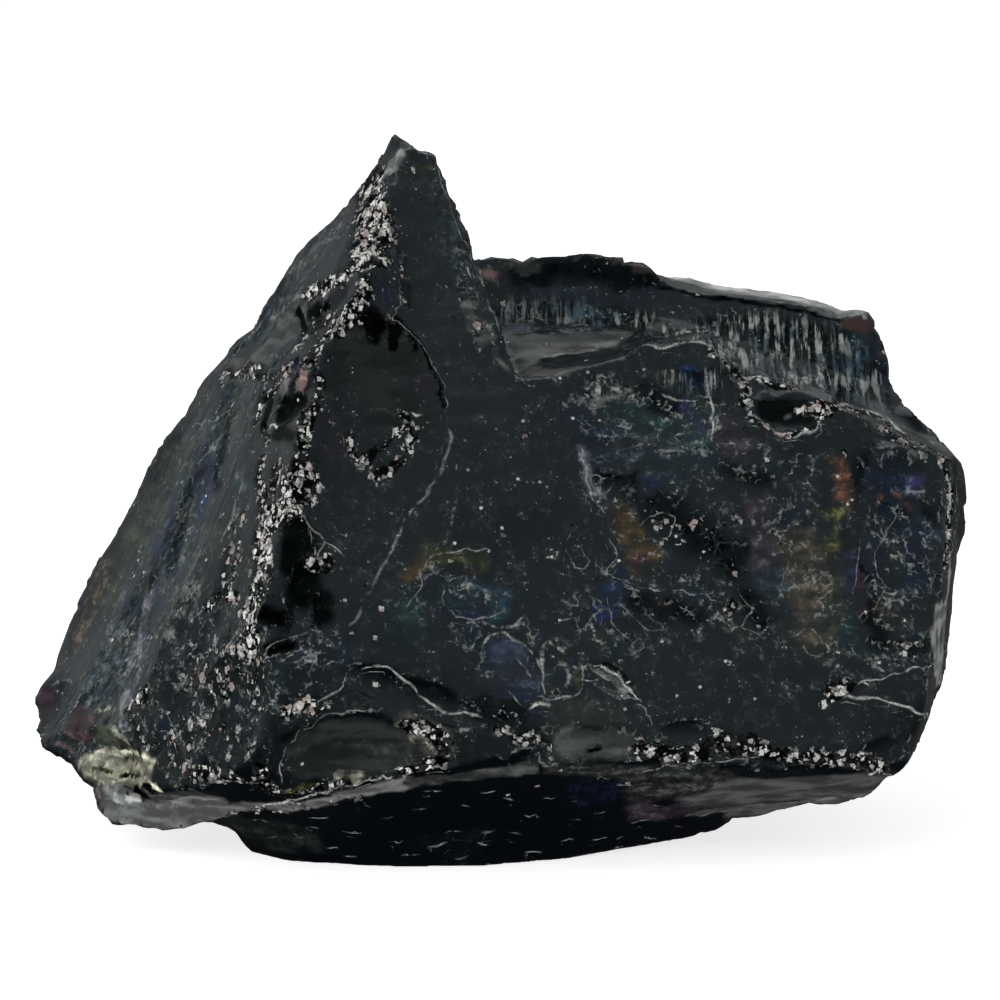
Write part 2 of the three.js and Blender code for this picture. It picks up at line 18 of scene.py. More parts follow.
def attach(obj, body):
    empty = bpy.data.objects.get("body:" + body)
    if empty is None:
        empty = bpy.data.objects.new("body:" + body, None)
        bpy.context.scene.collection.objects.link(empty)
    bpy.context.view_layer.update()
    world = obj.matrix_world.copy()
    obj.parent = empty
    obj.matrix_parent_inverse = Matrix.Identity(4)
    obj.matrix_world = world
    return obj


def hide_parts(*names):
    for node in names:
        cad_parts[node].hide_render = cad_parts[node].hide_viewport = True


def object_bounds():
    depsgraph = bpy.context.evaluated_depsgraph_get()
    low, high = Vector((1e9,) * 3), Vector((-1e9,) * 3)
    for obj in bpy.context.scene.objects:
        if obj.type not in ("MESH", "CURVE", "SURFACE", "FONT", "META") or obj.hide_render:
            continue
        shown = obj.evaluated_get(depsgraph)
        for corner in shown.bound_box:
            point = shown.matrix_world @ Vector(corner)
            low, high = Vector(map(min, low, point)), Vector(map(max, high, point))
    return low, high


MM = 0.001  # metres in a millimetre

# --- the camera, which also turns a place in the picture into a place on the glass ---

PICTURE = 1000  # pixels along a side of the picture
FOCAL = 4500  # the lens's focal length, in picture pixels
SENSOR = 36.0  # width of the camera's sensor
DISTANCE = 450.0
ELEVATION = math.radians(10)
TARGET = Vector((0.3, -1.9, 32.7))
BACKWARDS = Vector((0, -math.cos(ELEVATION), math.sin(ELEVATION)))
UPWARDS = Vector((0, math.sin(ELEVATION), math.cos(ELEVATION)))
EYE = TARGET + DISTANCE * BACKWARDS
PIXEL = DISTANCE / FOCAL  # size of a picture pixel on the glass

# --- the fine surface ---

COARSE = 1.04  # spacing of its points on the far side; half of it on the side the camera sees
FACES_CAMERA = 0.1  # least cosine towards the camera for a face to count as seen
SHARP = math.radians(26)  # angle between two faces of the solid that makes a sharp edge
EDGE_STEP = 0.2  # spacing of the places that are marked along the sharp edges
FAR_EDGE_REACH = 1.0  # how far from a sharp edge the far side is as fine as the seen side
EDGE_REACH = 0.33  # how far from a sharp edge the seen side is made finer still
SMALL = 0.7  # half width up to which a patch has finer points too
ROUNDINGS = 10  # how many times the corners in ROUNDED are smoothed
ROUNDED_FROM = 0.3  # the share of a stroke of ROUNDED from which a point is smoothed

# Fades, each from where there is none of it to where there is all of it.
FAR_SIDE = (-0.1, 0.2)  # cosine away from the camera
UPWARD = (0.48, 0.60)  # height of a normal on the wall, where it is hackled
SHADED_UNDERSIDE = (-0.1, -0.4)  # height of a normal, for the painted shade over the underside
FOOT = (0.02, 1.2)  # height in mm: the flat face to rest on stays flat

# Roughly how deep each kind of damage goes, in mm.
CHIP_DEPTH = 0.4
CRUSH_DEPTH = 0.5
TERRACE_DEPTH = 0.11
RIB_DEPTH = 0.5

INSIDE = 0.02  # how far the surface stays inside the solid's box, in mm
LEFT_END = -46.85  # how far left it may go

# Noise on the surface: the size of its features in mm, a shift that sets it apart, its octaves.
CLUMPS = (5, 91, 2)
WORN_PLACES = (13, 41)
BLOTCHES = (2.4, 101, 3)
HUES = (3.6, 111, 3)
BRUSHED = ((5.0, 5.0, 0.9), 121, 4)
SCALLOPS = (1.5, 5)
SMALL_SCALLOPS = (0.7, 15)
TERRACES = (3.2, 51)
SMALL_TERRACES = (1.4, 61)
RIBS = ((0.9, 7, 7), 71)
SMALL_RIBS = ((0.45, 5, 5), 81)
# How far points are moved about, the size of the noise in mm, and a shift for each axis.
RAGGED = (0.45, 1.4, (3, 13, 23))
WILD = (1.1, 2.6, (7, 17, 27))
# Facets of crushed glass: how high they are, their size in mm and a shift.
FACETS = [(0.45, 2.2, 19), (0.4, 1.1, 0), (0.25, 0.6, 9)]

# --- where things are, as places in the picture: (right, down) from its upper left corner ---

# Strokes on the glass: each has a half width in mm, a strength, and the places of its line.

# Crushed glass along ridges and edges, whose strength is how dense it is:
CRUSHED = [
    # the main ridge, from the point down
    (2.5, 1.0, (370, 186), (368, 208), (372, 228), (366, 248)),
    (0.6, 1.0, (386, 261), (364, 266), (346, 273)),
    (1.0, 0.8, (342, 278), (322, 286), (306, 293)),
    (1.6, 0.95, (360, 284), (354, 300), (340, 318), (324, 340), (314, 356)),
    (1.3, 0.5, (330, 318), (312, 330), (300, 344)),
    (1.0, 0.5, (222, 374), (244, 368), (268, 376), (286, 372)),
    (0.5, 0.9, (274, 390), (262, 402), (256, 420)),
    (0.5, 0.8, (264, 426), (268, 442)),
    (0.8, 0.9, (318, 372), (319, 390), (314, 408), (308, 424)),
    (0.9, 1.0, (308, 424), (304, 446), (298, 472)),
    (0.7, 0.9, (260, 462), (258, 482), (264, 498)),
    (1.3, 0.7, (276, 470), (272, 490), (262, 508)),
    (2.0, 1.0, (302, 478), (290, 494), (276, 514)),
    (0.5, 0.8, (316, 470), (318, 486), (314, 500)),
    (1.9, 0.85, (266, 520), (262, 550), (260, 582), (250, 606)),
    (0.5, 0.9, (272, 520), (286, 512), (300, 520)),
    (0.7, 0.9, (310, 562), (322, 566), (330, 560)),
    (1.2, 0.95, (250, 620), (250, 640), (244, 652)),
    (0.8, 0.6, (208, 606), (222, 594), (236, 600)),
    (1.6, 0.32, (238, 520), (232, 560), (222, 596)),
    # the crumbled foot of the ridge
    (2.4, 0.34, (236, 640), (220, 680), (214, 720)),
    (2.8, 0.2, (200, 670), (186, 700), (180, 736)),
    (2.4, 0.24, (258, 660), (248, 700), (240, 740)),
    (1.4, 0.5, (140, 694), (128, 706)),
    (1.2, 0.5, (186, 770), (214, 774), (250, 786)),
    (0.9, 0.4, (130, 716), (140, 736), (156, 750)),
    (0.6, 0.95, (286, 712), (300, 706), (312, 704)),
    (0.35, 0.9, (312, 712), (326, 708)),
    (0.8, 0.9, (262, 770), (266, 784), (280, 794)),
    (0.5, 0.7, (288, 796), (320, 790), (350, 782)),
    (0.7, 0.7, (396, 774), (420, 768), (444, 760)),
    # the scar beside the ridge, and the low oval scar
    (0.45, 1.0, (350, 436), (354, 452), (360, 464), (372, 456)),
    (0.3, 0.8, (372, 456), (388, 444), (402, 424), (412, 414)),
    (0.6, 0.7, (404, 416), (414, 430), (406, 446)),
    (0.6, 0.7, (378, 474), (392, 470), (402, 460)),
    (1.0, 0.75, (408, 726), (424, 726), (438, 738), (446, 756)),
    # the brow, the scar in it, and the right edge
    (0.5, 0.9, (712, 350), (724, 358), (734, 366)),
    (0.7, 1.0, (734, 368), (742, 380), (750, 400)),
    (0.6, 1.0, (754, 374), (768, 380), (790, 388)),
    (0.7, 1.0, (804, 410), (822, 412), (838, 404)),
    (0.6, 0.9, (820, 404), (846, 408), (876, 416), (906, 436), (938, 452)),
    (0.3, 0.9, (752, 416), (764, 424), (780, 433), (806, 430), (820, 420)),
    (0.95, 1.0, (944, 462), (948, 476), (951, 500), (950, 530), (946, 562)),
    (1.0, 0.4, (884, 432), (904, 440), (922, 452)),
    # the lower edge of the front
    (1.2, 0.7, (642, 752), (668, 756), (700, 752), (722, 744), (760, 746)),
    (1.0, 0.6, (760, 750), (806, 758), (846, 760), (884, 768)),
    (0.9, 0.9, (834, 692), (846, 686)),
    (0.5, 0.8, (822, 704), (828, 700)),
    (0.6, 0.5, (496, 730), (520, 738), (548, 742)),
    (1.2, 0.4, (900, 650), (922, 648)),
    (0.7, 0.35, (230, 812), (300, 806), (360, 796)),
    # the broken places on the faces
    (1.4, 0.16, (462, 306), (476, 325), (486, 344)),
    (0.9, 0.16, (592, 390), (608, 386), (624, 390)),
    (0.8, 0.4, (400, 250), (408, 300)),
    (1.2, 0.14, (640, 520), (680, 534), (730, 520)),
    (1.2, 0.14, (690, 590), (740, 606)),
]

# Thin pale lines:
LINES = [
    (0.08, 0.4, (391, 315), (413, 337), (432, 362), (446, 396), (449, 430)),
    (0.2, 0.28, (449, 430), (442, 470), (414, 508), (388, 556), (369, 592), (350, 624)),
    (0.14, 0.8, (404, 148), (396, 162), (390, 176)),
    (0.16, 0.9, (350, 432), (353, 448), (360, 462), (366, 458), (384, 448)),
    (0.14, 0.9, (384, 448), (396, 436), (402, 422), (408, 412), (418, 414)),
    (0.12, 0.7, (410, 428), (416, 440), (412, 452)),
    (0.12, 0.5, (404, 147), (424, 152), (433, 156)),
    (0.1, 0.4, (434, 156), (452, 214), (476, 262), (486, 290), (502, 328), (520, 378)),
    (0.12, 0.7, (300, 514), (318, 532), (342, 553)),
    (0.11, 0.6, (306, 518), (312, 540), (316, 560)),
    (0.1, 0.5, (326, 540), (312, 566)),
    (0.17, 0.75, (362, 668), (380, 666), (400, 675), (420, 696), (453, 712), (478, 716)),
    (0.09, 0.5, (282, 780), (280, 765), (290, 742), (304, 730)),
    (0.08, 0.35, (304, 730), (322, 718), (346, 711), (372, 712)),
    (0.12, 0.5, (312, 704), (338, 690), (346, 676)),
    (0.22, 0.85, (262, 806), (317, 795), (360, 782), (403, 774), (446, 766)),
    (0.26, 0.85, (645, 343), (664, 346), (690, 340), (712, 346), (724, 356)),
    (0.3, 1.0, (734, 368), (746, 378), (757, 374), (772, 380), (788, 388)),
    (0.22, 0.8, (744, 384), (750, 396), (748, 408)),
    (0.3, 1.0, (752, 415), (762, 422), (772, 429), (781, 433), (800, 434), (815, 427), (820, 420)),
    (0.28, 1.0, (806, 408), (826, 404), (845, 405), (870, 412), (886, 417), (909, 438), (938, 453)),
    (0.18, 0.6, (707, 374), (708, 390), (710, 412), (712, 436)),
    (0.12, 0.6, (666, 396), (686, 399), (704, 399)),
    (0.09, 0.4, (892, 508), (896, 520), (884, 536)),
    (0.08, 0.35, (884, 536), (876, 556), (880, 580), (890, 588)),
    (0.08, 0.4, (860, 540), (856, 572), (854, 598)),
    (0.09, 0.4, (882, 592), (874, 606), (862, 616)),
    (0.12, 0.55, (796, 634), (810, 630), (824, 638), (830, 650), (818, 655)),
    (0.09, 0.4, (800, 640), (808, 652), (822, 656)),
    (0.13, 0.75, (860, 684), (878, 680), (905, 671), (935, 664)),
    (0.15, 0.85, (836, 690), (850, 696), (878, 699), (906, 706), (932, 718)),
    (0.13, 0.5, (580, 446), (586, 470), (592, 496), (604, 514)),
    (0.08, 0.4, (570, 536), (568, 552), (576, 566), (588, 568), (584, 548)),
    (0.2, 0.5, (486, 620), (500, 626), (512, 626), (522, 619)),
    (0.15, 0.45, (484, 646), (492, 636), (506, 633), (520, 640), (532, 652), (541, 666), (545, 690)),
    (0.17, 0.65, (542, 662), (541, 648), (546, 643), (560, 649), (570, 657), (577, 667)),
    (0.14, 0.6, (583, 668), (585, 682), (576, 694), (560, 696), (541, 697)),
    (0.26, 0.55, (557, 663), (565, 664), (570, 674), (568, 686)),
    (0.12, 0.45, (506, 689), (514, 696), (524, 704)),
    (0.12, 0.4, (518, 660), (525, 668), (528, 676)),
    (0.16, 0.9, (586, 677), (594, 678)),
    (0.22, 1.0, (532, 707), (538, 703), (546, 704)),
    (0.16, 0.9, (591, 666), (604, 668), (618, 678), (630, 690), (638, 700)),
    (0.09, 0.6, (591, 668), (604, 677), (618, 690), (636, 700)),
    (0.09, 0.45, (612, 541), (617, 558), (609, 569), (628, 586), (642, 591)),
    (0.08, 0.4, (620, 578), (653, 588), (692, 591), (720, 602)),
    (0.08, 0.35, (608, 600), (612, 622), (628, 636)),
    (0.08, 0.35, (622, 604), (636, 622), (648, 630), (662, 628)),
    (0.09, 0.45, (646, 520), (664, 512), (676, 522), (668, 534)),
    (0.09, 0.4, (740, 596), (752, 612), (744, 626), (760, 636)),
    (0.11, 0.4, (408, 604), (422, 584), (420, 566), (438, 554), (462, 550), (484, 552)),
    (0.1, 0.4, (444, 588), (448, 608), (470, 618), (502, 612)),
    (0.12, 0.55, (262, 652), (276, 642), (290, 636), (304, 632)),
    (0.12, 0.55, (264, 656), (282, 654), (300, 652), (284, 658)),
    (0.22, 0.4, (242, 470), (240, 492), (232, 516), (222, 540)),
    (0.14, 0.8, (481, 270), (484, 280), (487, 289)),
    (0.14, 0.8, (469, 266), (472, 276)),
    (0.11, 0.5, (489, 298), (494, 310), (500, 330)),
    (0.12, 0.7, (513, 364), (518, 374), (530, 386)),
    (0.14, 0.7, (346, 270), (364, 264), (386, 260)),
    (0.14, 0.4, (956, 470), (956, 520), (950, 560)),
    (0.12, 0.45, (640, 772), (700, 764), (760, 757), (830, 762), (893, 776)),
    (0.11, 0.6, (399, 284), (400, 300), (396, 318)),
    (0.08, 0.35, (560, 620), (574, 616), (580, 628)),
    (0.09, 0.4, (636, 706), (646, 712), (652, 722)),
    (0.1, 0.4, (196, 424), (214, 420), (230, 410)),
    (0.16, 0.9, (278, 380), (270, 388), (266, 394)),
    (0.16, 0.9, (260, 410), (256, 418), (254, 424)),
    (0.2, 1.0, (267, 436), (268, 428), (277, 426)),
    (0.18, 1.0, (300, 433), (306, 428), (313, 424)),
    (0.1, 0.4, (200, 462), (210, 452), (222, 436)),
]

# Single bright chips and bubbles.
DOTS = [
    (523, 421), (573, 418), (518, 479), (540, 482), (552, 557), (489, 551), (726, 661), (700, 687),
    (677, 696), (755, 699), (852, 500), (414, 172), (653, 521), (661, 527), (676, 536), (704, 552),
    (455, 543), (481, 508), (600, 419), (619, 560), (905, 620), (404, 300), (206, 496), (202, 502),
    (206, 560), (238, 548), (186, 540), (138, 560), (144, 572), (134, 576), (182, 482), (112, 640),
    (345, 600), (468, 470), (662, 641), (730, 662), (622, 696), (560, 620), (848, 504), (838, 476),
    (866, 612), (880, 662), (312, 404), (322, 410), (298, 400), (302, 764), (516, 715), (472, 715),
    (625, 709), (508, 342), (502, 528), (571, 350), (597, 347), (622, 338), (560, 378), (588, 372),
]
DOT = 0.18  # radius of one

LAYERS = 3  # sets of pale lines, so that close ones are apart
LINE_REACH = 1.0  # how far from a pale line its distance is measured

# Short pale dashes on the dark underside.
DASHES = [
    (364, 805), (261, 821), (318, 818), (489, 830), (454, 832), (483, 845), (515, 835), (567, 840),
    (599, 838), (619, 838), (605, 777), (625, 786), (657, 805), (547, 798), (489, 792), (300, 836),
    (284, 812), (338, 798), (420, 808), (440, 846), (530, 816), (576, 820), (330, 848), (640, 822),
    (272, 838), (312, 826), (352, 832), (386, 818), (398, 842), (432, 792), (466, 806), (512, 800),
    (534, 852), (572, 800), (602, 812), (650, 838), (676, 826), (350, 856), (408, 856), (462, 858),
]

# Glass with a worn, terraced patina:
WEATHERED = [
    (7.0, 0.35, (640, 440), (760, 500), (880, 560)),
    (5.0, 0.3, (650, 600), (780, 640), (900, 650)),
    (3.4, 0.9, (604, 408), (650, 418), (704, 425)),
    (1.6, 0.8, (590, 460), (600, 500)),
    (1.8, 0.7, (622, 520), (640, 550)),
    (2.2, 1.0, (615, 585), (670, 595), (735, 615)),
    (2.6, 1.0, (590, 615), (620, 640)),
    (1.9, 0.9, (715, 450), (760, 458), (800, 470)),
    (3.4, 0.85, (770, 520), (800, 560), (815, 620)),
    (4.0, 0.95, (890, 480), (900, 540), (895, 600)),
    (2.0, 0.9, (860, 650), (925, 650)),
    (3.4, 0.9, (470, 600), (510, 650), (560, 680)),
    (2.4, 0.6, (410, 600), (450, 560)),
    (3.0, 0.7, (520, 320), (620, 325)),
    (3.2, 0.8, (250, 700), (320, 650)),
    (4.5, 1.0, (200, 640), (180, 740)),
    (3.2, 0.7, (130, 640), (150, 740)),
    (2.2, 0.7, (540, 740), (640, 752), (740, 770)),
    (2.0, 0.5, (460, 250), (480, 320)),
    (3.0, 0.5, (330, 230), (300, 300)),
    (3.0, 0.7, (90, 740), (150, 740)),
    (1.8, 0.8, (232, 376), (290, 376)),
]

# Long streaks down the left face, and upright ribs on the wall behind the brow:
STREAKED = [
    (7.5, 1.0, (270, 330), (200, 470), (150, 590), (105, 700)),
    (3.0, 0.7, (330, 230), (290, 300)),
    (2.5, 0.7, (440, 190), (470, 280)),
]
HACKLED = [
    (4.6, 1.0, (700, 350), (770, 358), (850, 372)),
    (2.8, 1.0, (672, 330), (760, 332), (840, 344)),
    (1.7, 0.8, (500, 312), (560, 313), (640, 320)),
    (2.4, 1.0, (748, 366), (790, 378), (838, 386)),
]

# Edges that are neither chipped nor crushed:
SMOOTH = [
    (4.5, 1.0, (62, 660), (50, 700), (50, 735), (84, 770), (112, 806), (150, 815)),
    (0.8, 1.0, (963, 462), (965, 500), (961, 560), (952, 610)),
]
# Corners that are rounded off:
ROUNDED = [
    (2.6, 1.0, (46, 684), (43, 700), (45, 716)),
]
# Where the surface is drawn out to the left, by up to the strength in mm:
PULLED = [
    (2.6, 0.6, (46, 690), (44, 712), (47, 730), (52, 742)),
]
# Where it swells out of the solid, by up to the strength in mm:
SWOLLEN = [
    (2.4, 0.9, (92, 770), (106, 784), (112, 800)),
    (2.2, 0.7, (862, 320), (868, 336), (880, 356)),
    (2.0, 0.5, (590, 262), (640, 268)),
]

# Colours of the patina, and of some painted highlights, reflections and shade, linear.
# INK is used mostly for painted shade: in notches, hollows and creases, round the grains, between
# the ribs and beside the curls.
INK = (0.0003, 0.0004, 0.0005)
DEEP = (0.0006, 0.0012, 0.0024)
PINE = (0.0014, 0.0028, 0.0027)
GLASS = (0.0060, 0.0088, 0.0100)
VEIL = (0.0120, 0.0155, 0.0170)
GLOOM = (0.0075, 0.0105, 0.0095)
SILT = (0.0170, 0.0205, 0.0180)
NAVY = (0.0040, 0.0080, 0.030)
BLUE = (0.0030, 0.017, 0.080)
STEEL = (0.010, 0.052, 0.080)
TEAL = (0.011, 0.036, 0.036)
SLATE = (0.024, 0.036, 0.052)
DUSK = (0.026, 0.032, 0.060)
MIST = (0.095, 0.115, 0.120)
LILAC = (0.17, 0.16, 0.20)
VIOLET = (0.028, 0.026, 0.11)
PLUM = (0.024, 0.012, 0.020)
MAUVE = (0.050, 0.037, 0.050)
PINK = (0.34, 0.21, 0.20)
RED = (0.075, 0.040, 0.040)
RUST = (0.055, 0.018, 0.016)
UMBER = (0.030, 0.013, 0.011)
ORANGE = (0.21, 0.078, 0.034)
GOLD = (0.090, 0.052, 0.010)
YELLOW = (0.125, 0.125, 0.028)
OLIVE = (0.040, 0.040, 0.010)
MOSS = (0.036, 0.042, 0.028)
TAN = (0.100, 0.080, 0.054)
SMOKE = (0.056, 0.060, 0.056)
HAZE = (0.125, 0.130, 0.122)
SAND = (0.120, 0.118, 0.100)
STRAW = (0.30, 0.29, 0.21)
PEARL = (0.24, 0.245, 0.23)
ASH = (0.30, 0.30, 0.28)
BONE = (0.36, 0.37, 0.34)
# A painted highlight, for the pale band along the crest.
CREST_HIGHLIGHT = (0.58, 0.59, 0.57)
CREAM = (0.68, 0.66, 0.50)

# Colours of the film, the streaks, the ribs, the pale lines, the painted highlights on the edges,
# the pale flecks with painted glints, and the grains, linear.
THIN_FILM = (0.015, 0.019, 0.020)
BLUE_FILM = (0.004, 0.012, 0.030)
GREEN_FILM = (0.011, 0.018, 0.019)
BROWN_FILM = (0.025, 0.020, 0.014)
PALE_FILM = (0.048, 0.056, 0.054)
BLUE_STREAK = (0.022, 0.045, 0.066)
GREY_STREAK = (0.062, 0.076, 0.070)
BLUE_RIB = (0.07, 0.11, 0.14)
PALE_RIB = (0.40, 0.42, 0.40)
DARK_THREAD = (0.07, 0.08, 0.078)
PALE_THREAD = (0.28, 0.30, 0.285)
EDGE_HIGHLIGHT = (0.24, 0.25, 0.24)
DULL_LINE = (0.24, 0.255, 0.24)
BRIGHT_LINE = (0.74, 0.75, 0.70)
RUBBLE = (0.03, 0.032, 0.03)
DARK_GRAIN = (0.06, 0.063, 0.06)
PALE_GRAIN = (0.82, 0.82, 0.76)
PINK_GRAIN = (0.44, 0.32, 0.29)
DUST_AND_GLINT = (0.30, 0.315, 0.305)
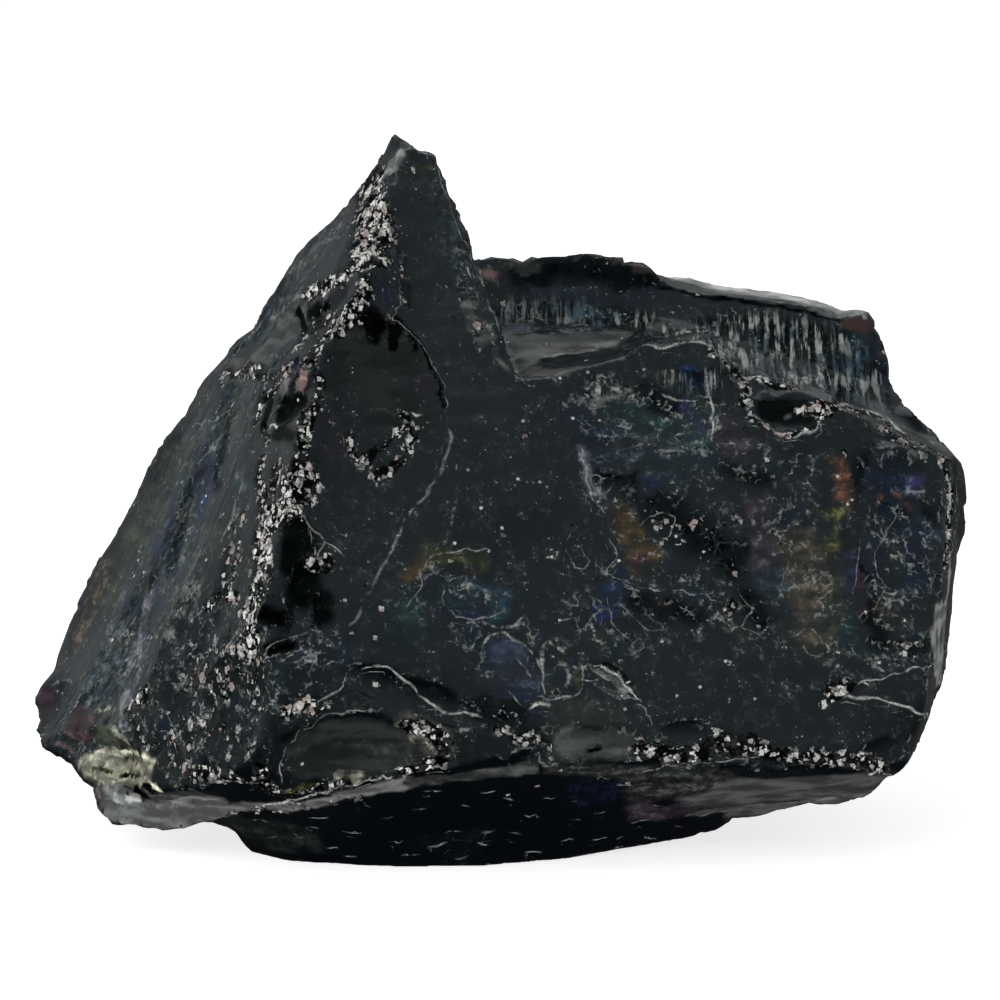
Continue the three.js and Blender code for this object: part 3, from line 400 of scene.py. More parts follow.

# Patches of patina, and where noted of painted light and shade: each has a colour, a half width in
# mm, how broken it is, from 0 for smooth to 1 for loose flecks, and the places of its line. The INK
# and PINE patches are mostly painted shade in notches, hollows and creases.
PATCHES = [
    # the left face
    (SLATE, 3.4, 0.4, (215, 450), (190, 520), (160, 590)),
    (MIST, 1.6, 0.9, (212, 452), (196, 500), (180, 560)),
    (MIST, 1.8, 0.9, (120, 620), (108, 660), (100, 700)),
    (LILAC, 1.2, 0.9, (140, 650), (132, 690), (124, 720)),
    (DEEP, 1.3, 0.8, (226, 420), (222, 450), (218, 480)),
    (DEEP, 1.4, 0.8, (160, 560), (146, 600), (140, 630)),
    (MOSS, 2.6, 0.4, (170, 470), (140, 530), (110, 590)),
    (DEEP, 1.6, 0.9, (196, 470), (180, 530), (170, 570)),
    (MIST, 2.2, 0.9, (116, 640), (104, 672), (98, 700)),
    (HAZE, 1.6, 0.95, (196, 556), (184, 600), (172, 640)),
    (MOSS, 1.6, 0.4, (206, 530), (216, 540)),
    (NAVY, 2.3, 0.4, (200, 460), (206, 480)),
    (BLUE, 1.2, 0.4, (208, 490), (200, 508)),
    (NAVY, 1.9, 0.2, (172, 514), (164, 544)),
    (BLUE, 0.6, 0.3, (168, 522), (164, 534)),
    (TEAL, 1.0, 0.3, (240, 474), (242, 500), (226, 534)),
    (MIST, 0.45, 0.3, (240, 470), (243, 494), (232, 522)),
    (LILAC, 1.4, 0.9, (150, 600), (138, 640), (130, 670)),
    (MIST, 1.2, 0.9, (120, 600), (108, 640), (100, 680)),
    (HAZE, 1.2, 0.9, (164, 580), (176, 600), (160, 630)),
    (SMOKE, 2.6, 0.0, (290, 320), (262, 352), (244, 362)),
    (SMOKE, 1.2, 0.6, (340, 225), (300, 270), (274, 308)),
    (HAZE, 0.6, 0.5, (294, 300), (276, 318), (262, 338)),
    (TAN, 1.4, 0.6, (104, 570), (80, 640)),
    (NAVY, 0.9, 0.0, (292, 360), (284, 370)),
    (HAZE, 0.9, 0.0, (282, 386), (286, 374)),
    (PINK, 0.6, 0.0, (300, 386), (306, 372)),
    (BONE, 0.2, 0.2, (294, 391), (310, 391)),
    (PINE, 0.8, 0.0, (271, 400), (268, 410), (264, 422)),
    (PINE, 0.9, 0.0, (284, 402), (304, 403)),
    (PINE, 0.9, 0.0, (280, 416), (306, 414)),
    (PINE, 0.9, 0.0, (276, 432), (292, 436)),
    (INK, 0.8, 0.0, (310, 312), (326, 306)),
    (INK, 0.5, 0.0, (298, 312), (306, 330)),
    # the point
    (VEIL, 4.5, 0.3, (440, 210), (462, 300), (466, 380), (478, 420)),
    (VEIL, 3.0, 0.5, (372, 500), (360, 560)),
    (PEARL, 0.9, 0.0, (398, 152), (386, 170), (380, 180)),
    (YELLOW, 0.45, 0.3, (412, 170), (424, 166)),
    (HAZE, 1.4, 0.25, (470, 310), (478, 326), (484, 340)),
    (SAND, 0.6, 0.3, (476, 322), (484, 334)),
    (HAZE, 0.5, 0.3, (498, 350), (503, 372)),
    (TEAL, 0.8, 0.6, (452, 230), (460, 270)),
    (GLOOM, 4.0, 0.0, (362, 356), (386, 372), (400, 396)),
    (NAVY, 0.9, 0.4, (380, 280), (388, 296)),
    (INK, 1.1, 0.0, (362, 316), (372, 322), (374, 336)),
    (INK, 0.75, 0.0, (374, 318), (384, 324)),
    (INK, 0.6, 0.0, (397, 322), (395, 334), (392, 346)),
    (INK, 0.3, 0.0, (410, 336), (414, 350)),
    (INK, 0.28, 0.0, (402, 326), (418, 342), (428, 358), (438, 384), (444, 408)),
    (PLUM, 1.2, 0.2, (420, 382), (430, 396)),
    (PINE, 2.0, 0.0, (300, 536), (298, 560), (304, 592)),
    (PINE, 1.2, 0.0, (320, 600), (322, 616)),
    (INK, 1.0, 0.0, (262, 612), (282, 618)),
    (INK, 0.6, 0.0, (266, 650), (290, 646)),
    (PLUM, 1.4, 0.4, (330, 426), (334, 450)),
    # the smooth half of the front
    (GOLD, 1.0, 0.3, (408, 572), (430, 560)),
    (OLIVE, 1.3, 0.3, (436, 556), (456, 558), (480, 562)),
    (YELLOW, 0.4, 0.5, (450, 560), (470, 562)),
    (RUST, 0.35, 0.2, (456, 574), (484, 575)),
    (STEEL, 1.5, 0.35, (452, 600), (480, 598), (500, 606)),
    (NAVY, 1.0, 0.2, (446, 612), (480, 614)),
    (TEAL, 1.8, 0.4, (412, 606), (408, 626)),
    (DUSK, 1.9, 0.1, (506, 654), (516, 672), (526, 684)),
    (OLIVE, 0.5, 0.1, (579, 672), (579, 684)),
    (PEARL, 0.32, 0.1, (598, 671), (612, 680), (626, 692)),
    (INK, 0.25, 0.1, (600, 663), (618, 670), (630, 682)),
    (NAVY, 2.0, 0.3, (490, 700), (540, 704)),
    (SILT, 2.2, 0.3, (570, 716), (610, 720)),
    (SILT, 2.6, 0.0, (312, 752), (350, 742), (386, 750)),
    (SMOKE, 1.0, 0.3, (368, 742), (384, 756)),
    (SMOKE, 0.7, 0.6, (400, 752), (420, 762)),
    (SMOKE, 1.5, 0.0, (566, 744), (590, 743), (620, 748)),
    (INK, 0.35, 0.0, (592, 752), (598, 747)),
    # the weathered half
    (DEEP, 2.0, 0.7, (592, 436), (608, 470), (640, 486)),
    (DEEP, 2.4, 0.7, (664, 508), (696, 530), (728, 556)),
    (DEEP, 2.4, 0.6, (866, 474), (900, 500), (922, 524)),
    (DEEP, 1.3, 0.7, (862, 560), (868, 600), (874, 640)),
    (DEEP, 1.6, 0.8, (640, 602), (690, 614)),
    (DEEP, 1.4, 0.8, (640, 396), (676, 406)),
    (PINE, 1.2, 0.6, (730, 470), (764, 478)),
    (DEEP, 1.4, 0.7, (474, 704), (520, 714)),
    (DEEP, 1.2, 0.7, (746, 590), (764, 620)),
    (TEAL, 2.8, 0.6, (610, 412), (650, 425), (694, 440)),
    (NAVY, 2.6, 0.4, (592, 424), (606, 456), (640, 452)),
    (BLUE, 0.8, 0.2, (688, 374), (698, 382)),
    (VIOLET, 1.0, 0.2, (684, 408), (694, 430)),
    (MAUVE, 1.8, 0.4, (720, 432), (744, 448)),
    (LILAC, 0.5, 0.1, (580, 446), (588, 476), (592, 490)),
    (LILAC, 0.4, 0.4, (592, 488), (606, 508)),
    (SLATE, 2.2, 0.8, (620, 450), (670, 470)),
    (ASH, 1.2, 1.0, (590, 394), (606, 386), (626, 390)),
    (NAVY, 1.2, 0.3, (648, 484), (660, 492)),
    (BLUE, 1.1, 0.4, (612, 590), (604, 606)),
    (GOLD, 1.5, 0.3, (622, 514), (636, 540), (642, 560)),
    (RUST, 0.8, 0.4, (636, 560), (646, 568)),
    (MAUVE, 1.9, 0.35, (756, 516), (762, 540), (770, 560)),
    (SLATE, 1.5, 0.5, (768, 580), (784, 600)),
    (ORANGE, 0.9, 0.45, (838, 464), (844, 482), (840, 500)),
    (RUST, 0.5, 0.2, (848, 474), (856, 486)),
    (YELLOW, 0.65, 0.6, (836, 508), (836, 530), (833, 548)),
    (OLIVE, 0.5, 0.7, (820, 510), (830, 520)),
    (TAN, 2.8, 0.4, (800, 550), (812, 590), (820, 624)),
    (TAN, 1.6, 0.2, (808, 610), (812, 636)),
    (RUST, 0.7, 0.8, (806, 560), (810, 590)),
    (MOSS, 1.4, 0.2, (838, 590), (836, 630)),
    (TEAL, 0.8, 0.6, (846, 600), (844, 640)),
    (VIOLET, 0.8, 0.4, (848, 556), (850, 590)),
    (NAVY, 2.4, 0.2, (876, 480), (904, 494)),
    (VIOLET, 0.9, 0.2, (908, 484), (922, 478)),
    (ORANGE, 0.4, 0.4, (882, 508), (896, 501), (910, 502)),
    (LILAC, 0.25, 0.1, (908, 492), (924, 490)),
    (NAVY, 1.8, 0.3, (916, 524), (924, 556)),
    (SLATE, 1.4, 0.5, (934, 530), (936, 556)),
    (NAVY, 1.6, 0.3, (872, 530), (872, 560)),
    (PLUM, 1.2, 0.2, (858, 580), (862, 606)),
    (PLUM, 1.0, 0.3, (758, 394), (772, 400)),
    (PINE, 1.4, 0.1, (766, 410), (784, 414), (802, 416)),
    (SMOKE, 0.5, 0.5, (762, 398), (774, 396)),
    (MIST, 0.2, 0.0, (789, 416), (806, 413)),
    # the hollow behind the brow
    (DEEP, 2.0, 0.3, (530, 276), (580, 268), (640, 282)),
    (NAVY, 1.2, 0.4, (540, 296), (580, 300), (640, 300)),
    (STEEL, 0.9, 0.85, (512, 306), (560, 312), (620, 318)),
    (RUST, 0.5, 0.3, (576, 258), (606, 258)),
    (DEEP, 2.0, 0.3, (876, 352), (890, 388), (910, 422)),
    (NAVY, 1.3, 0.7, (872, 350), (888, 384), (904, 410)),
    (STEEL, 1.5, 0.6, (852, 345), (852, 385)),
    (UMBER, 0.9, 0.0, (848, 323), (862, 327)),
    (PINK, 0.6, 0.2, (486, 268), (494, 278)),
    (RUST, 0.8, 0.2, (618, 264), (640, 270)),
    (MOSS, 0.9, 0.4, (500, 268), (530, 266)),
    (BLUE, 0.7, 0.6, (498, 306), (508, 314)),
    (VIOLET, 0.6, 0.5, (520, 324), (534, 328)),
    (TEAL, 0.4, 0.3, (518, 333), (540, 333)),
    (NAVY, 1.0, 0.4, (592, 320), (612, 320)),
    (YELLOW, 0.3, 0.5, (614, 334), (630, 332)),
    (SMOKE, 1.3, 0.0, (518, 346), (566, 342), (620, 334)),
    (SAND, 0.8, 0.0, (524, 354), (566, 351), (612, 345)),
    (SAND, 1.3, 0.1, (520, 366), (540, 374), (568, 370)),
    (INK, 0.3, 0.0, (544, 363), (564, 364)),
    # Painted highlight along the edge of the ledge.
    (BONE, 0.5, 0.1, (546, 356), (574, 353), (606, 347)),
    (INK, 0.5, 0.0, (570, 364), (600, 360), (640, 352)),
    # Painted highlight: the pale band along the crest, where the glass mirrors the bright light
    # above.
    (CREST_HIGHLIGHT, 1.4, 0.0, (652, 272), (680, 278), (700, 281)),
    (CREST_HIGHLIGHT, 3.0, 0.0, (716, 285), (750, 291)),
    (CREST_HIGHLIGHT, 2.6, 0.0, (750, 291), (800, 300), (856, 313)),
    (INK, 0.35, 0.0, (664, 288), (700, 295), (740, 300)),
    (INK, 0.35, 0.0, (740, 300), (790, 309), (840, 322)),
    # Painted reflection: the pale strip down the right side, in these four patches.
    (PEARL, 0.9, 0.0, (936, 612), (935, 640), (936, 668)),
    (PEARL, 1.1, 0.0, (940, 612), (939, 640), (938, 676)),
    (PEARL, 0.9, 0.0, (944, 611), (943, 640), (940, 676)),
    (BONE, 0.45, 0.1, (949, 550), (950, 572), (946, 604)),
    (BONE, 0.8, 0.35, (947, 466), (950, 486), (951, 510), (950, 534), (948, 552)),
    # the low corner, the undercut and the lower edge
    (PLUM, 1.2, 0.0, (50, 694), (48, 716)),
    (RED, 1.1, 0.1, (70, 728), (78, 716), (86, 724)),
    (RED, 0.9, 0.3, (72, 736), (84, 740)),
    (PINK, 0.5, 0.5, (62, 748), (78, 756)),
    (MOSS, 1.2, 0.0, (102, 736), (110, 740)),
    (CREAM, 0.3, 0.3, (94, 718), (104, 708), (112, 722), (126, 742)),
    (ASH, 0.9, 0.2, (120, 700), (122, 716)),
    (STRAW, 1.0, 0.15, (94, 764), (112, 766), (132, 768), (147, 768)),
    (STRAW, 0.8, 0.15, (106, 776), (124, 780), (144, 780)),
    # The crumpled crust: its cream lines are its colour and also a painted highlight on the folds,
    # and the OLIVE and INK creases are painted shade.
    (CREAM, 0.4, 0.15, (86, 760), (98, 755), (112, 752), (128, 753), (142, 757), (153, 762)),
    (CREAM, 0.32, 0.3, (94, 763), (108, 761), (118, 767), (130, 770)),
    (CREAM, 0.32, 0.3, (94, 770), (104, 777), (116, 777), (124, 772)),
    (CREAM, 0.36, 0.2, (106, 783), (120, 784), (134, 781), (146, 773)),
    (CREAM, 0.32, 0.3, (136, 763), (148, 767), (147, 778)),
    (OLIVE, 0.26, 0.1, (100, 767), (108, 768), (115, 771)),
    (OLIVE, 0.26, 0.1, (124, 776), (134, 775), (141, 775)),
    (OLIVE, 0.22, 0.1, (124, 759), (138, 762)),
    (INK, 0.28, 0.1, (103, 768), (113, 771)),
    (INK, 0.3, 0.1, (126, 776), (139, 776)),
    (INK, 0.2, 0.1, (127, 759), (136, 762)),
    (CREAM, 0.4, 0.1, (148, 786), (158, 791)),
    (INK, 0.5, 0.0, (128, 790), (146, 788)),
    (PINK, 0.6, 0.2, (104, 792), (108, 802)),
    (YELLOW, 0.5, 0.3, (290, 790), (322, 785)),
    (CREAM, 0.5, 0.4, (316, 790), (336, 784), (356, 778)),
    (CREAM, 1.1, 0.35, (410, 722), (430, 732), (442, 752)),
    (TAN, 0.6, 0.4, (420, 742), (432, 754)),
    # Painted reflection: these five smooth pale and grey patches stand in for the pale floor
    # mirrored in the underside.
    (HAZE, 2.2, 0.0, (120, 808), (160, 812), (214, 806)),
    (PEARL, 0.5, 0.2, (150, 806), (180, 800), (214, 800)),
    (SMOKE, 0.6, 0.3, (140, 800), (170, 796), (200, 794)),
    (HAZE, 0.8, 0.0, (228, 808), (300, 806), (350, 794), (410, 782)),
    (SMOKE, 0.7, 0.1, (410, 782), (470, 776), (530, 768)),
    # Painted reflection: the grey of the lower bevel, in these two patches and in the HAZE line
    # after the next one.
    (SMOKE, 2.8, 0.0, (706, 794), (780, 790), (870, 786)),
    (SMOKE, 1.6, 0.0, (740, 812), (800, 806), (860, 796)),
    (SMOKE, 1.4, 0.5, (560, 766), (640, 774), (720, 776)),
    (HAZE, 0.5, 0.1, (690, 814), (740, 808), (800, 802), (870, 792)),
    (SILT, 2.0, 0.3, (240, 826), (300, 838)),
    (NAVY, 1.8, 0.7, (580, 792), (610, 792)),
    (SMOKE, 1.6, 0.6, (640, 790), (700, 788)),
    (MAUVE, 1.3, 0.3, (640, 808), (662, 812), (690, 806)),
    (PINK, 0.3, 0.6, (650, 806), (664, 804)),
    (BONE, 0.35, 0.1, (120, 790), (122, 800)),
    (INK, 0.45, 0.0, (130, 795), (144, 793)),
    (BONE, 0.4, 0.0, (131, 799), (138, 799)),
]

BLACKEST = 0.003  # the colours darker than this hardly reflect either: painted shade in the notches, hollows and creases where they mostly lie
TIDY = 0.15  # how broken a patch may be and still have a tidy border
TIGHT = (0.75, 1.25)  # where a tidy border starts and ends, in half widths of the patch
SOFT = (0.3, 1.4)  # the same for the other borders
LEVEL = 0.9  # the height of a normal from which a patch lies on level glass
STAYS_LEVEL = (0.9, 0.96)  # cosines to its normal between which such a patch fades in
STAYS_FACING = (0.35, 0.6)  # the same for the other patches
OVER = 0.6  # how strong a patch is, beside the one under it, where it starts to cover that

# Patches on the sides that the camera doesn't see, drawn at seeded random places.
HIDDEN_SHADES = [NAVY, TEAL, SLATE, MAUVE, TAN, SMOKE, GOLD, NAVY, TEAL, INK, HAZE, RUST]
HIDDEN_PATCHES = 60
HIDDEN_SEED = 11
HIDDEN_FROM = Vector((0, 0, 25))  # a place inside the glass, from which their ways out are drawn
OUTSIDE = 90.0  # how far from it is outside the glass
HIDDEN_FACES = -0.05  # greatest cosine towards the camera for glass that counts as hidden
LOWEST = 1.0  # least height of such a patch
REACHES = (1, 7)  # how long they are, in mm
WIDTHS = (0.5, 2.6)  # their half widths
BREAKS = (0.3, 0.9)  # how broken they are

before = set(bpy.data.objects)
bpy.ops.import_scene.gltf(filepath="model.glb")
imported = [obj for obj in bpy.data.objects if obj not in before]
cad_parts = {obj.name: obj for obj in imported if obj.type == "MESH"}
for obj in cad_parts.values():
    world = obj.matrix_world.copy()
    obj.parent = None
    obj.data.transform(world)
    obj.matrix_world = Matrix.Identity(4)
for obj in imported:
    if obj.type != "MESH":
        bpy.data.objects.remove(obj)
cad_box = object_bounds()
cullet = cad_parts["glass_cullet"]


def vertex_rows(mesh, what):
    """The places of the mesh's points for "co", or their normals for "normal", one row each."""
    flat = np.empty(3 * len(mesh.vertices))
    mesh.vertices.foreach_get(what, flat)
    return flat.reshape(-1, 3)


def welded(node):
    """The node's solid as a bmesh in millimetres, with the points that lie together made one."""
    mesh = bmesh.new()
    mesh.from_mesh(node.data)
    for vert in mesh.verts:
        vert.co = vert.co / MM
    bmesh.ops.remove_doubles(mesh, verts=mesh.verts, dist=0.001)
    mesh.normal_update()
    return mesh


solid = welded(cullet)
solid_tree = BVHTree.FromBMesh(solid)

# --- from a place in the picture to the glass ---


def spot(place):
    """The point on the glass at a place in the picture, and its normal, or None and None."""
    right, down = place[0] - PICTURE / 2, place[1] - PICTURE / 2
    ray = Vector((1, 0, 0)) * right - UPWARDS * down - BACKWARDS * FOCAL
    return solid_tree.ray_cast(EYE, ray.normalized())[:2]


def spots(places):
    """The points on the glass at places in the picture, without those that miss it."""
    return [hit for hit in (spot(place)[0] for place in places) if hit]


def smooth_line(places, step):
    """Places along a smooth curve through the given ones, about step mm apart on the glass."""
    curve = []
    ends = [places[0], *places, places[-1]]
    for before, start, stop, after in zip(ends, ends[1:], ends[2:], ends[3:]):
        count = max(2, round(math.dist(start, stop) * PIXEL / step))
        for t in np.linspace(0, 1, count + 1):
            shares = (
                ((2 - t) * t - 1) * t,
                (3 * t - 5) * t * t + 2,
                ((4 - 3 * t) * t + 1) * t,
                (t - 1) * t * t,
            )
            curve.append(np.array(shares) @ np.array((before, start, stop, after)) / 2)
    return curve


def along(places, step=0.3):
    """Points on the glass along a smooth line in the picture."""
    return spots(smooth_line(places, step))


def facing_of(places):
    """The mean normal of the glass along a line in the picture."""
    total = sum((spot(place)[1] or Vector() for place in places), Vector())
    return total.normalized()


# --- measuring and painting the points of the surface ---


def tree_of(targets):
    tree = kdtree.KDTree(len(targets))
    for i, target in enumerate(targets):
        tree.insert(target, i)
    tree.balance()
    return tree


def close_to(points, targets, reach):
    """Which of the points are in the box around the targets, made larger by reach."""
    corners = np.array(targets)
    return np.all((points > corners.min(0) - reach) & (points < corners.max(0) + reach), axis=1)


def distance_to(points, targets, reach):
    """How far each point is from the nearest target, exact up to reach and larger beyond it."""
    far = np.full(len(points), 4.0 * reach)
    if not targets:
        return far
    close = close_to(points, targets, reach)
    tree = tree_of(targets)
    far[close] = [tree.find(p)[2] for p in points[close]]
    return far


def smooth_step(value, low, high):
    """0 up to low, 1 from high on, and a smooth rise between; with low above high, a fall."""
    t = np.clip((value - low) / (high - low), 0, 1)
    return t * t * (3 - 2 * t)


def noise_at(points, size, shift=0.0, octaves=1):
    """Smooth noise, mostly from -1 to 1, with features of about that size. size may be one number
    or one for each axis."""
    places = points / np.array(size) + shift
    if octaves == 1:
        return np.array([noise.noise(p) for p in places])
    return np.array([noise.fractal(p, 0.8, 2.0, octaves) for p in places])


def shaken(base, points, far, size, shifts):
    """Base moved about by up to about far, by noise of that size at the points."""
    return base + far * np.column_stack([noise_at(points, size, shift) for shift in shifts])


def facets_at(points, size, shift):
    """Heights of tilted flat facets of about that size, from -1 to 1, as on crushed glass."""
    heights = []
    for p in points / size + shift:
        middle = noise.voronoi(p)[1][0]
        tilt = noise.cell_vector(middle * 7.3) - Vector((0.5, 0.5, 0.5))
        heights.append(2.2 * (Vector(p) - middle).dot(tilt))
    return np.clip(heights, -1, 1)


def painted(points, strokes, soft=0.5):
    """How much of the strokes each point has, up to their strength. Soft is how blurred their
    borders are, as a share of their half width."""
    amount = np.zeros(len(points))
    for width, strength, *line in strokes:
        near = distance_to(points, along(line), (1 + soft) * width) / width
        amount = np.maximum(amount, strength * (1 - smooth_step(near, 1 - soft, 1 + 0.6 * soft)))
    return amount


def hidden_patches():
    """Patches on the far sides, as in PATCHES, but with points on the glass for a line, and with
    the normal there."""
    draw = random.Random(HIDDEN_SEED)
    patches = []
    while len(patches) < HIDDEN_PATCHES:
        way = Vector([draw.gauss(0, 1) for _ in range(3)]).normalized()
        start, normal, _, _ = solid_tree.ray_cast(HIDDEN_FROM + OUTSIDE * way, -way)
        if start is None or normal.dot(BACKWARDS) > HIDDEN_FACES or start.z < LOWEST:
            continue
        side = normal.cross(Vector([draw.gauss(0, 1) for _ in range(3)])).normalized()
        reach = draw.uniform(*REACHES)
        line = [solid_tree.find_nearest(start + side * reach * k / 10)[0] for k in range(11)]
        shade = draw.choice(HIDDEN_SHADES)
        width = draw.uniform(*WIDTHS)
        patches.append((shade, width, draw.uniform(*BREAKS), line, normal))
    return patches


def patch_colours(tidy, wild, normals):
    """Each point's patch colour, how much of it there is, and how broken it is. Tidy and wild are
    the points moved about by a little and by a lot: they make the borders of patches uneven."""
    seen = [(*patch[:3], along(patch[3:]), facing_of(patch[3:])) for patch in PATCHES]
    colour = np.zeros((len(tidy), 3))
    amount = np.zeros(len(tidy))
    broken = np.zeros(len(tidy))
    for shade, width, breaks, line, normal in hidden_patches() + seen:
        near = distance_to(wild if breaks > TIDY else tidy, line, SOFT[1] * width) / width
        weight = 1 - smooth_step(near, *(TIGHT if breaks <= TIDY else SOFT))
        stays = STAYS_LEVEL if normal.z > LEVEL else STAYS_FACING
        weight *= smooth_step(normals @ np.array(normal), *stays)
        stronger = weight > OVER * amount
        colour[stronger] = shade
        broken[stronger] = breaks
        amount = np.where(stronger, weight, amount)
    return colour, amount, broken


def beside(points, line, reach):
    """Which points are within reach of a line, how far each is to its one side or the other, and
    how far it is beyond the line's end."""
    path = np.array(line)
    close = close_to(points, line, reach)
    tree = tree_of(line)
    nearest = np.array([tree.find(p)[1] for p in points[close]], dtype=int)
    ways = np.gradient(path, axis=0)
    ways /= np.linalg.norm(ways, axis=1)[:, None] + 1e-9
    offset = points[close] - path[nearest]
    ahead = np.einsum("ij,ij->i", offset, ways[nearest])
    aside = offset - ahead[:, None] * ways[nearest]
    side = np.sign(np.cross(ways[nearest], aside) @ np.array(BACKWARDS))
    beyond = np.where(nearest == 0, -ahead, np.where(nearest == len(line) - 1, ahead, 0))
    return close, side * np.linalg.norm(aside, axis=1), np.maximum(beyond, 0)


def dashes():
    """The dashes as lines. Their lengths, slopes, widths and strengths go round in turn."""
    lines = []
    for turn, (right, down) in enumerate(DASHES):
        reach, rise = 2 + turn % 3, turn % 5 - 2
        ends = (right - reach, down + rise / 3), (right + reach, down - rise / 3)
        width, strength = 0.08 + 0.02 * (turn % 4), 0.3 + 0.15 * (turn % 3)
        lines.append((width, strength, ends[0], (right, down), ends[1]))
    return lines


def layered_lines():
    """The pale lines, each with the layer that keeps it apart from its neighbours."""
    layers = [[] for _ in range(LAYERS)]
    lines = []
    for width, power, *line in LINES + dashes():
        path = along(line, 0.1)
        if len(path) < 3:
            continue
        crowding = [min(distance_to(np.array(path), layer, 1.2)) for layer in layers]
        layer = crowding.index(max(crowding))
        layers[layer] += path
        lines.append((layer, width, power, path))
    return lines


def line_marks(points):
    """For each layer of pale lines, each point's place beside the nearest line, in half widths
    and less than 0 to its one side, and that line's strength there."""
    near = np.full((len(points), LAYERS), 9.0)
    strength = np.zeros((len(points), LAYERS))
    nearest = np.full((len(points), LAYERS), LINE_REACH)
    for layer, width, power, path in layered_lines():
        close, aside, beyond = beside(points, path, LINE_REACH)
        distance = np.hypot(aside, beyond)
        rows = np.flatnonzero(close)
        closer = distance < nearest[rows, layer]
        rows = rows[closer]
        nearest[rows, layer] = distance[closer]
        near[rows, layer] = aside[closer] / width
        fade = smooth_step(distance[closer], 0.8, 0.5) * smooth_step(beyond[closer], 0.3, 0.0)
        strength[rows, layer] = power * fade
    return near, strength


# --- the fine surface ---


def sharp_edge_points():
    """Points along the solid's sharp convex edges, all round it."""
    edge_points = []
    for edge in solid.edges:
        if len(edge.link_faces) == 2 and edge.calc_face_angle_signed() > SHARP:
            a, b = (v.co for v in edge.verts)
            count = max(2, round((b - a).length / EDGE_STEP))
            edge_points += [a.lerp(b, k / count) for k in range(count)]
    return edge_points


sharp_points = sharp_edge_points()


def split_where(mesh, chosen):
    """Splits the chosen faces of the mesh into four, and their neighbours to fit."""
    edges = {edge for face, split in zip(mesh.faces, chosen) if split for edge in face.edges}
    bmesh.ops.subdivide_edges(mesh, edges=list(edges), cuts=1, use_grid_fill=True)
    mesh.normal_update()


def face_centres(mesh):
    return np.array([face.calc_center_median() for face in mesh.faces])


def face_seen(mesh):
    return np.array([face.normal.dot(BACKWARDS) > FACES_CAMERA for face in mesh.faces])


def needs_detail(centres):
    """Which of the places are on a sharp edge, a crushed or hackled stretch, or a small mark."""
    near = distance_to(centres, sharp_points, EDGE_REACH) < EDGE_REACH
    near |= distance_to(centres, spots(DOTS), 2 * DOT) < 2 * DOT
    small = [(1.2 * width, 1, *line) for _, width, _, *line in PATCHES if width <= SMALL]
    for width, _, *line in CRUSHED + HACKLED + small:
        near |= distance_to(centres, along(line), width) < width
    return near


def remeshed():
    """The solid's surface as a bmesh of even squares, and the object that will hold it."""
    mesh = bpy.data.meshes.new("glass")
    solid.to_mesh(mesh)
    surface = bpy.data.objects.new("glass_surface", mesh)
    bpy.context.scene.collection.objects.link(surface)
    remesh = surface.modifiers.new("remesh", "REMESH")
    remesh.mode = "VOXEL"
    remesh.voxel_size = COARSE
    evaluated = surface.evaluated_get(bpy.context.evaluated_depsgraph_get())
    fine = bmesh.new()
    fine.from_mesh(evaluated.to_mesh())
    evaluated.to_mesh_clear()
    surface.modifiers.clear()
    fine.normal_update()
    return fine, surface


def round_corners(mesh):
    """Smooths the mesh at the corners in ROUNDED."""
    shares = painted(np.array([vert.co for vert in mesh.verts]), ROUNDED)
    corner = [vert for vert, share in zip(mesh.verts, shares) if share > ROUNDED_FROM]
    axes = {"use_axis_x": True, "use_axis_y": True, "use_axis_z": True}
    for _ in range(ROUNDINGS):
        bmesh.ops.smooth_vert(mesh, verts=corner, factor=0.5, **axes)


def fine_surface():
    """The surface's object: its mesh is finer at sharp edges and where the camera sees it, and
    finest where it is crushed or marked. Its points lie on the solid, but for the rounded corners,
    and are still in millimetres."""
    fine, surface = remeshed()
    at_edge = distance_to(face_centres(fine), sharp_points, FAR_EDGE_REACH) < FAR_EDGE_REACH
    split_where(fine, face_seen(fine) | at_edge)
    split_where(fine, face_seen(fine) & needs_detail(face_centres(fine)))
    for vert in fine.verts:
        vert.co = solid_tree.find_nearest(vert.co)[0]
    round_corners(fine)
    for face in fine.faces:
        face.smooth = True
    fine.to_mesh(surface.data)
    fine.free()
    return surface


piece = fine_surface()
points = vertex_rows(piece.data, "co")
normals = vertex_rows(piece.data, "normal")

# --- what each point of it is like ---

ragged = shaken(points, points, *RAGGED)
wild = shaken(ragged, points, *WILD)
edge_distance = distance_to(points, sharp_points, 3.0)
away = smooth_step(-normals @ np.array(BACKWARDS), *FAR_SIDE)
clumped = noise_at(points, *CLUMPS)
spared = painted(points, SMOOTH)

crush = painted(ragged, CRUSHED)
far_crush = away * (1 - smooth_step(edge_distance, 0.5, 1.7)) * smooth_step(clumped, 0.0, 0.35)
crush = np.maximum(crush, far_crush) * (1 - spared)
weathered = painted(wild, WEATHERED, 0.6)
weathered = np.maximum(weathered, away * smooth_step(noise_at(points, *WORN_PLACES), -0.15, 0.3))
streaked = np.maximum(painted(wild, STREAKED, 0.9), 0.6 * away * smooth_step(clumped, 0.1, -0.3))
hackled = painted(points, HACKLED, 0.6) * smooth_step(normals[:, 2], *UPWARD)

# --- the break-up of the surface: all inwards, but where it swells or is drawn out ---

